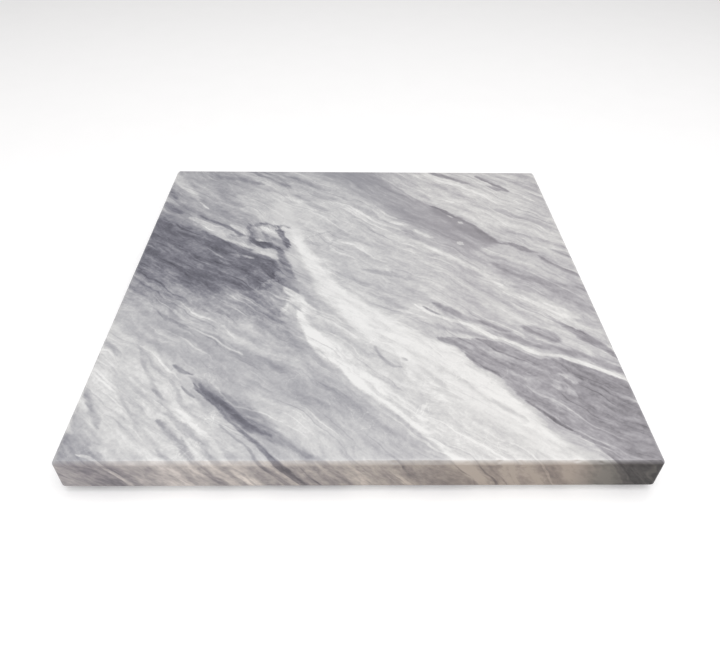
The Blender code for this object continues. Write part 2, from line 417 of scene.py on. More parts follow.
# Thin dark layers, dashes and hairlines.
DARK_VEINS: tuple[Layer, ...] = (
    # hairline over the pale sliver
    Vein(0.47, ((-120, 79, 0.5), (-112, 73, 1), (-103, 67, 1.3), (-96, 62, 1.5), (-91, 58.5, 1.6),
        (-87.5, 54.5, 1.6), (-84, 51, 0.8)), 0.95, 1.6, Edge.CLEAN),
    Vein(0.55, ((-94, 53, 0.5), (-90, 51, 1.2), (-85, 50.5, 0.9), (-80, 51, 0.6)), 0.8, 1.4, Edge.CLEAN),
    # rim of the dark cloud under the sliver
    Vein(0.44, ((-114, 57, 0.8), (-106, 50, 1.4), (-97, 43, 1.6), (-87, 37, 1.6), (-77, 30, 1.4),
        (-67, 22.5, 1.2), (-58, 18, 0.8)), 0.8, 2.2),
    # the dark curl: its top, its left and middle, and its right
    Vein(0.64, ((-82, 58, 2), (-74, 52, 6), (-66, 46, 8), (-58, 40, 6), (-51, 33, 2)), 0.75, 5),
    Vein(0.52, ((-84, 68, 0.8), (-79, 66, 2.4), (-73.5, 66, 2), (-67, 66, 1), (-61, 64.5, 0.9),
        (-55, 63, 1.4)), 0.9, 3, Edge.FINGERED),
    Vein(0.50, ((-82, 62, 0.8), (-80, 58, 2.2), (-79.5, 54, 2), (-78.5, 50, 2.6), (-76, 45.5, 3.2),
        (-72, 42.5, 2.4)), 0.9, 3, Edge.FINGERED),
    Vein(0.38, ((-78, 46, 0.8), (-73, 42, 2), (-69, 40, 3.2), (-64.5, 38.6, 4), (-60, 36.6, 3.2),
        (-56, 33, 2.2), (-52, 28, 1)), 0.95, 2.4),
    Vein(0.44, ((-59, 64, 0.8), (-58, 58.5, 1.6), (-56.6, 54, 2.3), (-54.2, 49, 2.2), (-52, 44, 2.2),
        (-50.2, 39.5, 1.6), (-49, 35, 0.6)), 0.92, 2),
    Vein(0.55, ((-70, 55, 0.6), (-67, 51, 1.3), (-65, 47, 1.2), (-63, 44, 0.6)), 0.8, 1.6),
    Vein(0.58, ((-64, 52, 0.6), (-61.8, 48, 1.2), (-60, 44.5, 0.8)), 0.8, 1.4),
    # shadow beside the belt under the curl
    Vein(0.52, ((-56, 30, 1), (-52, 22, 3), (-49, 14, 3.4), (-46, 6, 2), (-44, -2, 0.8)), 0.85, 3.6),
    # grey streaks between the belt and the long vein
    Vein(0.68, ((-44, -2, 1), (-38, -12, 2), (-33, -20, 2.2), (-28, -30, 1.6), (-24, -38, 0.8)), 0.7, 2.6),
    Vein(0.62, ((-47, -22, 0.8), (-42, -28, 1.4), (-37, -34, 0.8)), 0.6, 2),
    # faint ring right of the belt's head
    Vein(0.70, ((-37, 48, 0.6), (-33, 51.5, 1), (-27, 54.5, 1.2), (-21, 56, 0.8)), 0.7, 1.6),
    Vein(0.68, ((-38, 45, 0.8), (-34, 42, 1.6), (-30, 40.5, 1.8), (-26, 39, 0.8)), 0.7, 1.8),
    Vein(0.70, ((-19, 52, 0.6), (-17.5, 47, 1.2), (-19, 41, 1.4), (-22, 37, 1.4)), 0.65, 1.8),
    # back left dashes
    Vein(0.57, ((-116, 142, 0.8), (-106, 139, 2.4), (-97, 136.5, 3.2), (-88, 133, 2.6),
        (-78, 128, 1)), 0.85, 3.6),
    Vein(0.56, ((-96, 162, 4), (-86, 151, 5.4), (-77, 145, 6.4), (-69, 139, 5.4), (-62, 131, 3.6),
        (-55, 122, 1.2)), 0.8, 4.6),
    Vein(0.69, ((12, 160, 3), (25, 149, 5), (38, 139, 5), (50, 127, 2.4)), 0.7, 5),
    Vein(0.69, ((114, 164, 3), (128, 151, 4.4), (141, 140, 5), (154, 128, 5), (172, 112, 5)), 0.75, 5),
    Vein(0.67, ((36, 58, 1.5), (50, 47, 5), (63, 38, 6), (76, 29, 4), (88, 19, 1.5)), 0.6, 6),
    Vein(0.63, ((-72, 150, 2), (-62, 141, 4.6), (-50, 136, 4.4), (-39, 129, 2.8), (-28, 120, 1)), 0.8, 5),
    Vein(0.66, ((-34, 146, 1), (-24, 137, 2.4), (-14, 130, 2.8), (-4, 122, 2.2), (6, 113, 1)), 0.7, 4),
    Vein(0.70, ((-96, 118, 1), (-86, 110, 2.2), (-76, 102, 2.2), (-66, 92, 1)), 0.6, 3.6),
    Vein(0.72, ((-34, 76, 1), (-24, 68, 2), (-14, 58, 2.2), (-4, 48, 1)), 0.6, 3.6),
    Vein(0.71, ((-16, 110, 1), (-6, 100, 2.2), (2, 90, 2.4), (10, 80, 1.2)), 0.6, 3.6),
    Vein(0.72, ((-12, 40, 1), (0, 32, 2), (12, 24, 2), (26, 16, 1)), 0.6, 3.4),
    Vein(0.63, ((-136, 158, 4), (-124, 142, 5), (-116, 130, 5), (-108, 118, 4.6), (-100, 105, 3.6),
        (-92, 92, 2.4)), 0.6, 6, Edge.FINGERED),
    Vein(0.62, ((-122, 104, 2), (-112, 94, 4), (-104, 84, 4), (-94, 75, 2)), 0.55, 5),
    Vein(0.46, ((-158, 126, 2.4), (-151, 117, 2.6), (-147, 111, 1.8),
        (-143, 104, 0.8)), 0.85, 2.6, Edge.CLEAN),
    Vein(0.50, ((-164, 106, 2.4), (-154, 98, 2.6), (-147, 92, 3), (-142, 86.5, 3.2),
        (-135, 82, 1.4)), 0.85, 2.8),
    Vein(0.66, ((-50, 111, 0.8), (-43, 104, 1.8), (-36, 98, 2.6), (-30, 92, 2), (-23, 86, 0.8)), 0.8, 2.4),
    # sharp rim of the grey band
    Vein(0.49, ((57, 95, 0.5), (62, 91.5, 1.2), (67.5, 87.5, 1.5), (72, 82.5, 1.2),
        (76, 78.5, 0.5)), 0.95, 1.6, Edge.CLEAN),
    Vein(0.50, ((75, 79, 0.6), (79, 76, 1.6), (83, 71, 1.2), (88, 64, 1.8), (93, 56, 2.6), (98, 49.5, 2.2),
        (101, 46, 0.8)), 0.7, 3, Edge.CLEAN),
    # dark wisps that go on from the band's tip
    Vein(0.56, ((98, 46, 0.8), (103, 42, 1.6), (108, 42, 1.6), (112, 41.5, 2.6), (117, 37.5, 2.4),
        (122, 34, 1.8), (128, 30.5, 0.8)), 0.85, 2.2),
    Vein(0.57, ((129, 26, 0.8), (132, 21.5, 1.5), (137, 16, 1.5), (141.5, 11, 1.8), (147, 7, 1.5),
        (154, 1, 1.6), (170, -12, 1.6)), 0.85, 2.2),
    # back right dashes
    Vein(0.575, ((54, 160, 1.6), (62, 152, 2.4), (69, 146.5, 2.8), (77, 142, 2.4), (85, 136, 1.8),
        (93, 131, 0.8)), 0.85, 2.6),
    Vein(0.545, ((101, 144, 0.6), (106, 139.5, 1.6), (111.5, 134, 1.8), (116, 127.5, 2.6), (120, 123, 2.4),
        (124, 118, 0.6)), 0.9, 2),
    Vein(0.62, ((108, 128, 0.8), (113, 124, 2), (119, 120, 0.8)), 0.7, 2.2),
    Vein(0.70, ((26, 138, 1), (36, 128, 2.4), (46, 118, 2.4), (58, 104, 1.2)), 0.6, 4),
    Vein(0.70, ((62, 132, 0.8), (70, 124, 1.6), (78, 116, 1.6), (86, 108, 0.8)), 0.6, 3),
    Vein(0.70, ((128, 160, 2), (140, 148, 3), (150, 136, 3), (166, 120, 3)), 0.6, 4),
    Vein(0.68, ((134, 114, 0.8), (143, 106, 2), (152, 98, 2), (166, 86, 2)), 0.6, 3),
    # grey streaks of the middle
    Vein(0.625, ((4, 10, 0.8), (12, 7, 2), (20, 5, 2.8), (28, 2.5, 2), (35, -2, 0.8)), 0.7, 3.4),
    Vein(0.68, ((-14, 6, 1.6), (-2, -5, 3), (8, -14, 3.6), (18, -23, 3), (30, -34, 1.4)), 0.75, 5),
    # dark streaks at the right edge
    Vein(0.61, ((94, 18, 0.8), (101, 10, 1.8), (110, 3, 2.2), (120, -2.5, 3.4), (131, -6.5, 2.8),
        (140, -8, 1.5), (149, -12, 1.6), (165, -22, 1.6)), 0.8, 3.4),
    Vein(0.53, ((121, -44, 0.6), (128, -50, 1.6), (135, -57, 3.8), (141.5, -64, 3.2), (148, -71, 2.4),
        (155, -80, 2), (170, -96, 2)), 0.9, 2),
    Vein(0.60, ((102, -50, 1), (108, -54, 4.6), (115, -58, 4.8), (122, -63, 1.2)), 0.9, 3.4),
    Vein(0.63, ((84, -55, 1), (96, -61, 2.8), (108, -66, 4), (120, -71, 3.4), (134, -78, 2.4),
        (150, -88, 2)), 0.75, 3.6),
    Vein(0.69, ((86, -10, 0.8), (96, -20, 1.8), (106, -29, 2), (116, -39, 1.8), (124, -47, 0.8)), 0.7, 3),
    Vein(0.67, ((102, -8, 0.8), (114, -14, 2), (127, -19, 2.2), (141, -27, 2), (158, -38, 2)), 0.7, 3),
    Vein(0.70, ((74, -6, 0.8), (84, -16, 1.6), (94, -26, 1.8), (104, -38, 1.6), (112, -46, 0.8)), 0.55, 3),
    Vein(0.60, ((140, 34, 0.8), (147, 29, 2), (155, 24, 2.4), (170, 14, 2.4)), 0.75, 3),
    Vein(0.61, ((18, 128, 1), (26, 120, 2.6), (34, 114, 2.6), (42, 108, 1)), 0.6, 4.4),
    Vein(0.69, ((88, 98, 0.8), (100, 92, 2), (114, 84, 2.2), (128, 76, 2), (144, 66, 1.6),
        (164, 54, 1.6)), 0.55, 3.6),
    Vein(0.70, ((104, 62, 0.8), (116, 56, 1.8), (128, 50, 2), (142, 42, 1.8), (158, 32, 1.6)), 0.55, 3),
    # thin dark curve and dots inside the belt
    Vein(0.70, ((9, -67, 0.3), (11, -73, 0.8), (14, -79, 0.9), (19, -84, 0.8),
        (24, -85, 0.3)), 0.8, 1.6, Edge.CLEAN),
    Vein(0.66, ((25.4, -77.6, 0.3), (27, -79, 0.9), (28.4, -80.2, 0.3)), 0.8, 1.4, Edge.CLEAN),
    Vein(0.76, ((34, -84, 0.6), (39, -89, 1.6), (44, -96, 1.6), (48, -103, 0.6)), 0.6, 3),
    Vein(0.74, ((72, -110, 0.6), (78, -116, 1.8), (84, -122, 1.4), (88, -127, 0.6)), 0.6, 3),
    # shading above the winding vein
    Vein(0.55, ((41, -30, 0.4), (46, -34.5, 0.9), (51, -38, 0.5)), 0.85, 1.2, Edge.CLEAN),
    Vein(0.60, ((48, -27, 0.8), (54, -32, 2.6), (60, -36, 3.2), (66, -41, 2), (74, -44.5, 2.2),
        (83, -49, 1.6), (92, -54, 0.6)), 0.85, 2.6),
    Vein(0.62, ((90, -58, 0.8), (99, -63, 2.2), (109, -67, 2.4), (119, -70, 2), (130, -75, 2), (142, -82, 2),
        (160, -94, 2)), 0.9, 2.4),
    Vein(0.69, ((42, -47, 0.8), (54, -51.5, 1.8), (66, -56, 1.8), (77, -60, 0.8)), 0.75, 2.4),
    # rims of the wedge
    Vein(0.47, ((62, -74, 0.4), (66, -79, 0.9), (71, -84.5, 0.7), (77, -89.5, 1),
        (80, -93, 0.4)), 0.8, 1.2, Edge.CLEAN),
    Vein(0.45, ((90, -111, 0.4), (95, -116.5, 0.8), (100, -121.5, 1.1), (105, -127, 1),
        (110, -131.5, 0.5)), 0.9, 1.1, Edge.CLEAN),
    Vein(0.50, ((119, -140, 0.4), (123, -145, 0.9), (127, -150.5, 1), (134, -160, 1)), 0.8, 1.3, Edge.CLEAN),
    # the dark vein of the front left: its head, its body and its purple core
    Vein(0.50, ((-106, -84.5, 0.5), (-102.5, -87, 1.5), (-99, -89.5, 1.2),
        (-94, -91.5, 0.4)), 0.95, 1.4, Edge.CLEAN),
    Vein(0.595, ((-94, -94, 1), (-89, -98.5, 2.4), (-83, -104, 3.6), (-77, -109, 5), (-71, -114.5, 6.2),
        (-64, -120, 6.8), (-57, -126, 6.4), (-50, -131, 5.2), (-43, -136.5, 3.8), (-35, -142.5, 2.6),
        (-26, -148, 1.8), (-16, -154, 1.4), (-8, -160, 1.2)), 0.95, 3.6),
    Vein(0.44, ((-89, -99, 0.8), (-83, -105, 2), (-77, -111, 2.8), (-72, -116.5, 3.4), (-67, -121.5, 3.4),
        (-61, -127, 3), (-54, -131, 2), (-47, -135, 1)), 0.92, 3),
    Vein(0.68, ((-94, -104, 0.8), (-86, -110, 2.2), (-78, -117, 2.6), (-70, -124, 2),
        (-62, -131, 0.8)), 0.75, 3),
    # its hairline branches, which run on down the front edge
    Vein(0.50, ((-93, -98, 0.3), (-87, -105, 0.6), (-80, -112, 0.8), (-73, -120, 0.7), (-66, -128, 0.8),
        (-58, -135, 0.9), (-51, -142, 1.1), (-45, -149, 1.5), (-38, -158, 1.8)), 0.95, 1.2, Edge.CLEAN),
    Vein(0.60, ((-73, -128, 0.3), (-66, -134.5, 0.7), (-59, -141, 0.7), (-53, -149, 0.9),
        (-46, -160, 0.9)), 0.7, 1.2, Edge.CLEAN),
    # small dashes and hairlines of the front left
    Vein(0.60, ((-98, -101, 0.3), (-94, -105.5, 1), (-90, -109, 0.5)), 0.8, 1.2, Edge.CLEAN),
    Vein(0.62, ((-106, -125, 0.6), (-101, -129, 2.2), (-95, -136, 2.4), (-89, -143, 2), (-83, -151, 1.6),
        (-76, -162, 1.6)), 0.8, 2.4),
    Vein(0.66, ((-92, -128, 0.6), (-87, -132, 1.8), (-81, -137, 1.8), (-74, -143, 0.8)), 0.75, 2.2),
    Vein(0.66, ((-158, -56, 1), (-151, -64, 1.4), (-145, -70, 1.4), (-138, -78, 0.6)), 0.75, 2.2),
    Vein(0.70, ((-147, -82, 0.6), (-140, -93, 1.2), (-131, -107, 1.3), (-123, -119, 1.2), (-113, -131, 1.2),
        (-103, -142, 1), (-92, -156, 1)), 0.7, 2.2),
    Vein(0.70, ((-160, -105, 0.8), (-150, -119, 1.3), (-141, -130, 1.3), (-132, -139, 0.8)), 0.7, 2.4),
    Vein(0.57, ((-128, -36, 0.4), (-121, -41, 1), (-113, -47, 0.8), (-105, -52, 0.4)), 0.8, 1.4),
    # the fan of soft streaks that drops to the front left corner
    Vein(0.69, ((-133, -60, 0.8), (-127, -72, 1.4), (-121, -86, 1.5), (-114, -100, 1.5), (-105, -114, 1.4),
        (-96, -126, 1.2), (-88, -136, 0.8)), 0.75, 2.4),
    Vein(0.71, ((-141, -86, 0.8), (-137, -97, 1.6), (-131, -109, 1.8), (-124, -120, 1.6),
        (-115, -131, 1.2)), 0.75, 2.6),
    Vein(0.655, ((-150, -103, 1.2), (-146, -111, 1.8), (-141, -120, 1.8), (-135, -129, 1)), 0.8, 2.4),
    Vein(0.67, ((-158, -114, 1), (-150, -124, 2), (-144, -134, 2.4), (-136, -143, 1.5)), 0.8, 3),
    Vein(0.69, ((-124, -60, 0.6), (-118, -70, 1.2), (-113, -79, 1.2), (-107, -88, 0.8)), 0.6, 2),
    Vein(0.70, ((-104, -95, 0.6), (-101, -104, 1.2), (-96, -113, 1.4), (-88, -122, 1.2),
        (-78, -129, 1)), 0.7, 2),
    Vein(0.68, ((-96, -124, 0.6), (-89, -131, 1.2), (-82, -139, 1.4), (-75, -148, 1.2),
        (-67, -160, 1.2)), 0.7, 2),
    Vein(0.72, ((-78, -134, 0.6), (-71, -141, 1.2), (-64, -149, 1.2), (-56, -160, 1.2)), 0.7, 2),
)

# Pale hairlines and flecks, laid over everything else.
PALE_VEINS: tuple[Layer, ...] = (
    # pale streaks between the grey ones of the front left
    Vein(0.86, ((-151, -70, 1), (-146, -82, 2), (-140, -93, 2.2), (-134, -104, 2), (-127, -117, 1.6),
        (-118, -129, 1.2)), 0.75, 3),
    Vein(0.855, ((-128, -82, 0.8), (-122, -94, 1.6), (-114, -108, 1.8), (-104, -122, 1.6),
        (-94, -135, 1.2)), 0.7, 2.6),
    Vein(0.86, ((-112, -92, 0.6), (-106, -103, 1.4), (-98, -115, 1.5), (-88, -127, 1.4), (-78, -138, 1.2),
        (-68, -152, 1.2)), 0.7, 2.4),
    Vein(0.80, ((-86, -53, 0.6), (-74, -60, 1.6), (-62, -68, 1.8), (-50, -74, 1.6),
        (-36, -80, 1)), 0.7, 2.6, Edge.CLEAN),
    # pale squiggles left of the grey band
    Vein(0.83, ((11, 91, 0.4), (14, 86, 1.4), (16, 80, 1.2), (19, 75, 0.5)), 0.75, 1.8),
    Vein(0.83, ((16, 90, 0.4), (21, 84, 1.2), (26, 79, 1.5), (30, 75, 0.5)), 0.75, 1.8),
    Vein(0.84, ((42, 60, 0.6), (46, 56, 2.4), (51, 52, 1.8), (56, 49, 0.6)), 0.8, 3),
    Vein(0.84, ((38, 4, 0.6), (46, 1, 2.2), (54, -2, 2.4), (62, -7, 1)), 0.7, 3.4),
    Vein(0.84, ((41, -8, 0.6), (44, -13, 1.6), (47, -18, 1.4), (51, -24, 0.6)), 0.7, 2.4),
    Vein(0.84, ((-106, -50, 0.3), (-97, -54.5, 0.7), (-88, -60.5, 0.7), (-78, -68.5, 0.7),
        (-69, -75, 0.5)), 0.8, 1.2, Edge.CLEAN),
    Vein(0.80, ((-112, -45, 0.4), (-100, -50, 1), (-88, -56, 1.2), (-74, -64, 1.4), (-60, -72, 1.2),
        (-46, -80, 0.6)), 0.75, 2.2, Edge.CLEAN),
    Vein(0.84, ((-124, 99, 0.4), (-121, 95.5, 1.1), (-117.5, 91.5, 1.1),
        (-115, 88.5, 0.4)), 0.9, 1.2, Edge.CLEAN),
    # pale inside of the curl
    Vein(0.84, ((-72, 63, 0.8), (-68, 60, 2.2), (-64, 57, 2.4), (-61, 54, 0.8)), 0.8, 1.6, Edge.CLEAN),
    Vein(0.84, ((-74, 46.5, 0.5), (-71.5, 45, 1.2), (-68.5, 43.4, 0.6)), 0.85, 1.2, Edge.CLEAN),
    Vein(0.83, ((-95, 66, 0.8), (-89, 61, 2.4), (-85, 57, 2.2), (-82, 54, 0.6)), 0.8, 1.8, Edge.CLEAN),
    Vein(0.86, ((-68, 31, 0.6), (-63, 27, 1.8), (-58.5, 24, 2), (-55.5, 21.5, 0.8)), 0.9, 1.5, Edge.CLEAN),
    # flecks in the dark cloud
    Vein(0.68, ((-81, 26, 0.4), (-77, 24.3, 1), (-73, 22, 0.4)), 0.9, 1.1, Edge.CLEAN),
    Vein(0.62, ((-90, 28, 0.4), (-86, 26, 1.6), (-83, 24, 0.5)), 0.8, 1.6, Edge.CLEAN),
    Vein(0.64, ((-97, 22, 0.4), (-92, 18, 1), (-88, 15, 0.4)), 0.7, 1.2),
    Vein(0.60, ((-80, 1, 0.5), (-77, -1.5, 1.4), (-74, -5, 1.2), (-72, -9, 0.5)), 0.5, 2.4),
    Vein(0.58, ((-145, 20, 0.3), (-136, 11, 0.8), (-127, 3, 0.9), (-118, -6, 0.4)), 0.6, 1.6),
    Vein(0.64, ((-62, -4, 0.4), (-57, -8, 1.4), (-52, -14, 1.2), (-48, -20, 0.5)), 0.7, 1.8),
    # flecks in the grey band
    Vein(0.80, ((70, 80.5, 0.3), (72, 79, 0.8), (74, 77.8, 0.3)), 0.9, 0.9, Edge.CLEAN),
    Vein(0.80, ((77, 71.6, 0.5), (78.5, 70.4, 1.5), (80, 69, 0.5)), 0.9, 1, Edge.CLEAN),
    Vein(0.85, ((72.8, 44.5, 0.6), (74.6, 42.6, 2.1), (76.4, 41, 0.6)), 0.95, 1, Edge.CLEAN),
    Vein(0.82, ((27, 71, 0.5), (31, 69, 1.6), (35, 68, 2), (38, 66.5, 0.6)), 0.85, 1.6, Edge.CLEAN),
    Vein(0.83, ((3, 96, 0.5), (6.5, 93.5, 2), (10, 90, 0.8)), 0.7, 2, Edge.CLEAN),
    # flecks in the wedge
    Vein(0.80, ((113, -88, 0.8), (118, -92.5, 3), (123, -96, 2.8), (127, -98, 1)), 0.7, 3, Edge.FINGERED),
    Vein(0.80, ((107, -97, 0.8), (112, -100.5, 2.2), (117, -104, 2.6),
        (120, -107, 0.8)), 0.65, 3, Edge.FINGERED),
    # white crack veinlets at the front left corner
    Vein(0.86, ((-141, -147, 0.3), (-136, -148.5, 0.8), (-131, -151, 0.8),
        (-124, -157, 0.8)), 0.8, 0.9, Edge.CLEAN),
)


# How strongly the fibres show, from 0 to about 1, bed by bed.
FIBRE_BEDS: tuple[Layer, ...] = (
    # striped ground of the front left
    Cloud(0.95, ((-200, -10), (-120, -36), (-60, -66), (-10, -104), (30, -140), (60, -180)),
        ((-210, -60), (-190, -130), (-160, -170), (-110, -200)), 20, 20),
    # the dark cloud
    Cloud(1.6, ((-200, 110), (-152, 84), (-128, 66), (-104, 44), (-74, 26), (-54, 16), (-46, -8), (-44, -34)),
        ((-210, 60), (-175, 5), (-150, -22), (-125, -36), (-98, -42), (-62, -52)), 4, 16),
    # the wedge
    Cloud(1.4, ((44, -57), (62, -60), (78, -62), (92, -69), (106, -78), (118, -79), (130, -84), (162, -104),
        (200, -130)),
        ((46, -62), (57, -67), (62, -76), (77, -92), (90, -112), (108, -131), (133, -156),
        (160, -190)), 2, 2),
    # the grey band is smooth
    Cloud(0.40, ((-10, 185), (12, 150), (47, 102), (72, 84), (94, 58), (101, 46)),
        ((-70, 175), (-40, 150), (-8, 124), (14, 96), (36, 72), (84, 34), (99, 40)), 4, 14),
    # and so is the white belt
    Vein(0.38, ((-62, 92, 8), (-47, 56, 5), (-38, 22, 6), (-21, -10, 9), (6, -44, 13), (40, -76, 16),
        (70, -110, 13), (97, -142, 10), (128, -182, 10)), 0.9, 8, edge=Edge.CLEAN),
)


@dataclass(frozen=True)
class Streak:
    """One size of fibre that runs with the grain: mm along, across and down, and its pull on tone."""

    length: float
    width: float
    pull: float
    detail: float = 2.0


@dataclass(frozen=True)
class HonedMarble:
    """Cloudy grey marble, sawn and honed: calcite crystals about half a mm across that
    give a soft, even sheen with no mirror, and graphite and mica beds as smoky layers."""

    ground_tone: float = 0.75
    # Graphite gives the left of the block its blue-violet smoke, fine mica a neutral grey
    # to the right.
    smoky_tones: tuple[tuple[float, str], ...] = (
        (0.30, "4a4a54"),
        (0.44, "6d6d77"),
        (0.52, "82828b"),
        (0.62, "9c9ca2"),
        (0.72, "b7b7ba"),
        (0.82, "d1d1d1"),
        (0.92, "ebebea"),
    )
    ashen_tones: tuple[tuple[float, str], ...] = (
        (0.30, "4d4b4f"),
        (0.44, "716e73"),
        (0.52, "868388"),
        (0.62, "9f9ca1"),
        (0.72, "b8b6b9"),
        (0.82, "d2d1d0"),
        (0.92, "ecebe9"),
    )
    # Where the blue-violet smoke begins to give way to the neutral grey, and where it has.
    ashen_mm: Point = (-20.0, 90.0)
    # The folds of the beds: each one's length, and how far it pushes the fibres across, in mm.
    folds: tuple[Point, ...] = ((130.0, 34.0), (32.0, 13.0), (9.0, 3.2))
    # Lumps, in mm along and across the grain and down, of the noises that move a layer's
    # border along and across, and thin its cover.
    fray_lump: WidePoint = (20.0, 5.0, 20.0)
    wobble_lump: WidePoint = (14.0, 7.0, 14.0)
    cover_lump: WidePoint = (15.0, 3.6, 15.0)
    cover_noise: Point = (0.32, 0.62)
    broad_streaks: tuple[Streak, ...] = (Streak(90.0, 16.0, 0.17, 2.0), Streak(34.0, 8.0, 0.20, 3.0))
    fibres: tuple[Streak, ...] = (
        Streak(40.0, 4.6, 0.17, 2.0),
        Streak(8.5, 4.4, 0.17, 4.0),
        Streak(2.4, 1.8, 0.12, 2.0),
    )
    fibre_ground: float = 1.0
    side_gain: float = 1.1
    # Hairlines: drawn a little wider than the real 0.3 mm, so that they show.
    hairline_length: float = 75.0
    hairline_width: float = 3.4
    hairline_pull: float = 0.075
    # The noise values at which a hairline begins and is full.
    graphite_noise: Point = (0.60, 0.72)
    calcite_noise: Point = (0.40, 0.30)
    # Healed cracks, which show as pale threads round patches of this size.
    crack_mm: float = 15.0
    crack_width: float = 0.012
    crack_pull: float = 0.055
    crack_patch_noise: Point = (0.54, 0.66)
    crystal_mm: float = 1.0
    crystal_pull: float = 0.05
    arris_lift: float = 0.035
    # How far either side of the middle, in mm, the painted shade on the front face runs from its left end to
    # its right.
    # Painted shade on the front face, warm and darker towards the right end, as shares of the way from its
    # left end to its right.
    front_shade_reach_mm: float = 152.0
    front_shade_tones: tuple[tuple[float, str], ...] = (
        (0.0, "d6cfcf"),
        (0.34, "f3e9e1"),
        (0.65, "c0b4aa"),
        (0.85, "b2a59b"),
        (0.90, "85807a"),
        (1.0, "5c5956"),
    )
    # Parts of the surface's direction between which each kind of face begins and is full:
    # the upright sides, the eased edge from its side and from its flat, the front, the top.
    upright_facing: Point = (0.5, 0.1)
    arris_from_side: Point = (0.12, 0.40)
    arris_from_flat: Point = (0.995, 0.93)
    front_facing: Point = (-0.30, -0.92)
    honed_facing: Point = (0.6, 0.98)
    ior: float = 1.49
    honed_roughness: float = 0.46
    sawn_roughness: float = 0.62
    roughness_speckle: float = 0.16
    crystal_relief: float = 0.35
    relief_strength: float = 0.35
    relief_mm: float = 0.12
    scratch_length: float = 40.0
    scratch_width: float = 0.9

    def make(self, working_face: float) -> Material:
        """Build the stone's material.

        Args:
            working_face: the working face's height in metres, where the layers are drawn.

        Returns:
            The material.
        """
        uniform = {"IOR": self.ior, "Metallic": 0.0}
        material, tree, shader = new_material("honed_grey_marble", uniform)
        place, grain = self._grain_coordinates(tree, working_face)
        flow = self._flow(tree, grain)
        settings = self._edge_settings(tree, grain)
        figure = (*BEDS, *DARK_BEDS, *WHITE_BEDS, *DARK_VEINS, *PALE_VEINS)
        tone = self._lay_layers(tree, figure, settings, self.ground_tone)
        strength = self._lay_layers(tree, FIBRE_BEDS, settings, self.fibre_ground)
        facing = add_node(tree, "SeparateXYZ", {0: add_node(tree, "TexCoord").outputs["Normal"]})
        strength = self._strengthen_sides(tree, strength, facing)
        tone = self._add_streaks(tree, flow, tone, self.broad_streaks, strength)
        tone = self._add_streaks(tree, flow, tone, self.fibres, strength)
        tone = self._add_hairlines(tree, flow, tone, strength)
        tone = self._add_cracks(tree, grain, tone)
        tone = self._add_crystals(tree, place, tone)
        tone = self._lift_arris(tree, tone, facing)
        # The front face's colour carries painted shade, warm and darker towards its right end.
        colour = self._paint_front_shade(tree, self._colour(tree, tone, place), place, facing)
        tree.links.new(colour, shader.inputs["Base Color"])
        self._surface(tree, shader, place, facing)
        return material

    def _grain_coordinates(self, tree: Tree, working_face: float) -> tuple[Node, Node]:
        """Make the block's coordinates in mm, plain and turned to the grain.

        Args:
            tree: the material's node tree.
            working_face: the working face's height in metres.

        Returns:
            The node that gives the place in mm, and the one that gives (along the grain,
            across it, depth under the working face) in mm.
        """
        source = add_node(tree, "TexCoord")
        place = add_node(
            tree,
            "VectorMath",
            {0: source.outputs["Object"], 1: (PER_MM, PER_MM, PER_MM)},
            operation="MULTIPLY",
        )
        axes = add_node(tree, "SeparateXYZ", {0: place})
        depth = add_node(tree, "Math", {0: working_face * PER_MM, 1: axes.outputs["Z"]}, operation="SUBTRACT")
        carried = add_node(
            tree,
            "Math",
            {0: depth, 1: -LAYER_DIP, 2: axes.outputs["X"]},
            operation="MULTIPLY_ADD",
        )
        level = add_node(tree, "CombineXYZ", {0: carried, 1: axes.outputs["Y"], 2: depth})
        grain = add_node(
            tree,
            "Mapping",
            {"Vector": level, "Rotation": (0.0, 0.0, math.radians(GRAIN_ANGLE))},
        )
        return place, grain

    def _flow(self, tree: Tree, grain: Node) -> Node:
        """Bend the grain coordinates, so that fibres wander as the beds were folded.

        Args:
            tree: the material's node tree.
            grain: the node with straight grain coordinates in mm.

        Returns:
            The node with bent grain coordinates in mm.
        """
        bent = grain
        for length, reach in self.folds:
            fold = add_node(tree, "TexNoise", {"Vector": grain, "Scale": 1.0 / length, "Detail": 1.0})
            centred = add_node(
                tree,
                "VectorMath",
                {0: fold.outputs["Color"], 1: (0.5, 0.5, 0.5)},
                operation="SUBTRACT",
            )
            bent = add_node(
                tree,
                "VectorMath",
                {0: centred, 1: (0.0, reach, 0.0), 2: bent},
                operation="MULTIPLY_ADD",
            )
        return bent

    def _edge_settings(self, tree: Tree, grain: Node) -> dict[Edge, tuple]:
        """Work out, for each kind of edge, where its layers lie and how they cover.

        Args:
            tree: the material's node tree.
            grain: the node with grain coordinates in mm.

        Returns:
            For each kind of edge: the place along the grain, the place across it, the cover.
        """
        fray, wobble, cover = (
            drawn_out_noise(tree, grain, lump, Detail=5.0, Roughness=0.62, Distortion=0.3)
            for lump in (self.fray_lump, self.wobble_lump, self.cover_lump)
        )
        return {
            edge: (
                *self._frayed_axes(tree, grain, fray, wobble, edge.value),
                self._patchy_cover(tree, cover, edge.value),
            )
            for edge in Edge
        }

    def _lay_layers(
        self,
        tree: Tree,
        layers: tuple[Layer, ...],
        settings: dict[Edge, tuple],
        ground: float,
    ) -> Node:
        """Lay beds and veins over an even ground, in order.

        Args:
            tree: the material's node tree.
            layers: the beds and veins.
            settings: each kind of edge's places and cover.
            ground: the ground's value.

        Returns:
            The node that gives the value after the last layer.
        """
        laid = add_node(tree, "Value")
        laid.outputs[0].default_value = ground
        for layer in layers:
            laid = self._lay(tree, layer, settings[layer.edge], laid)
        return laid

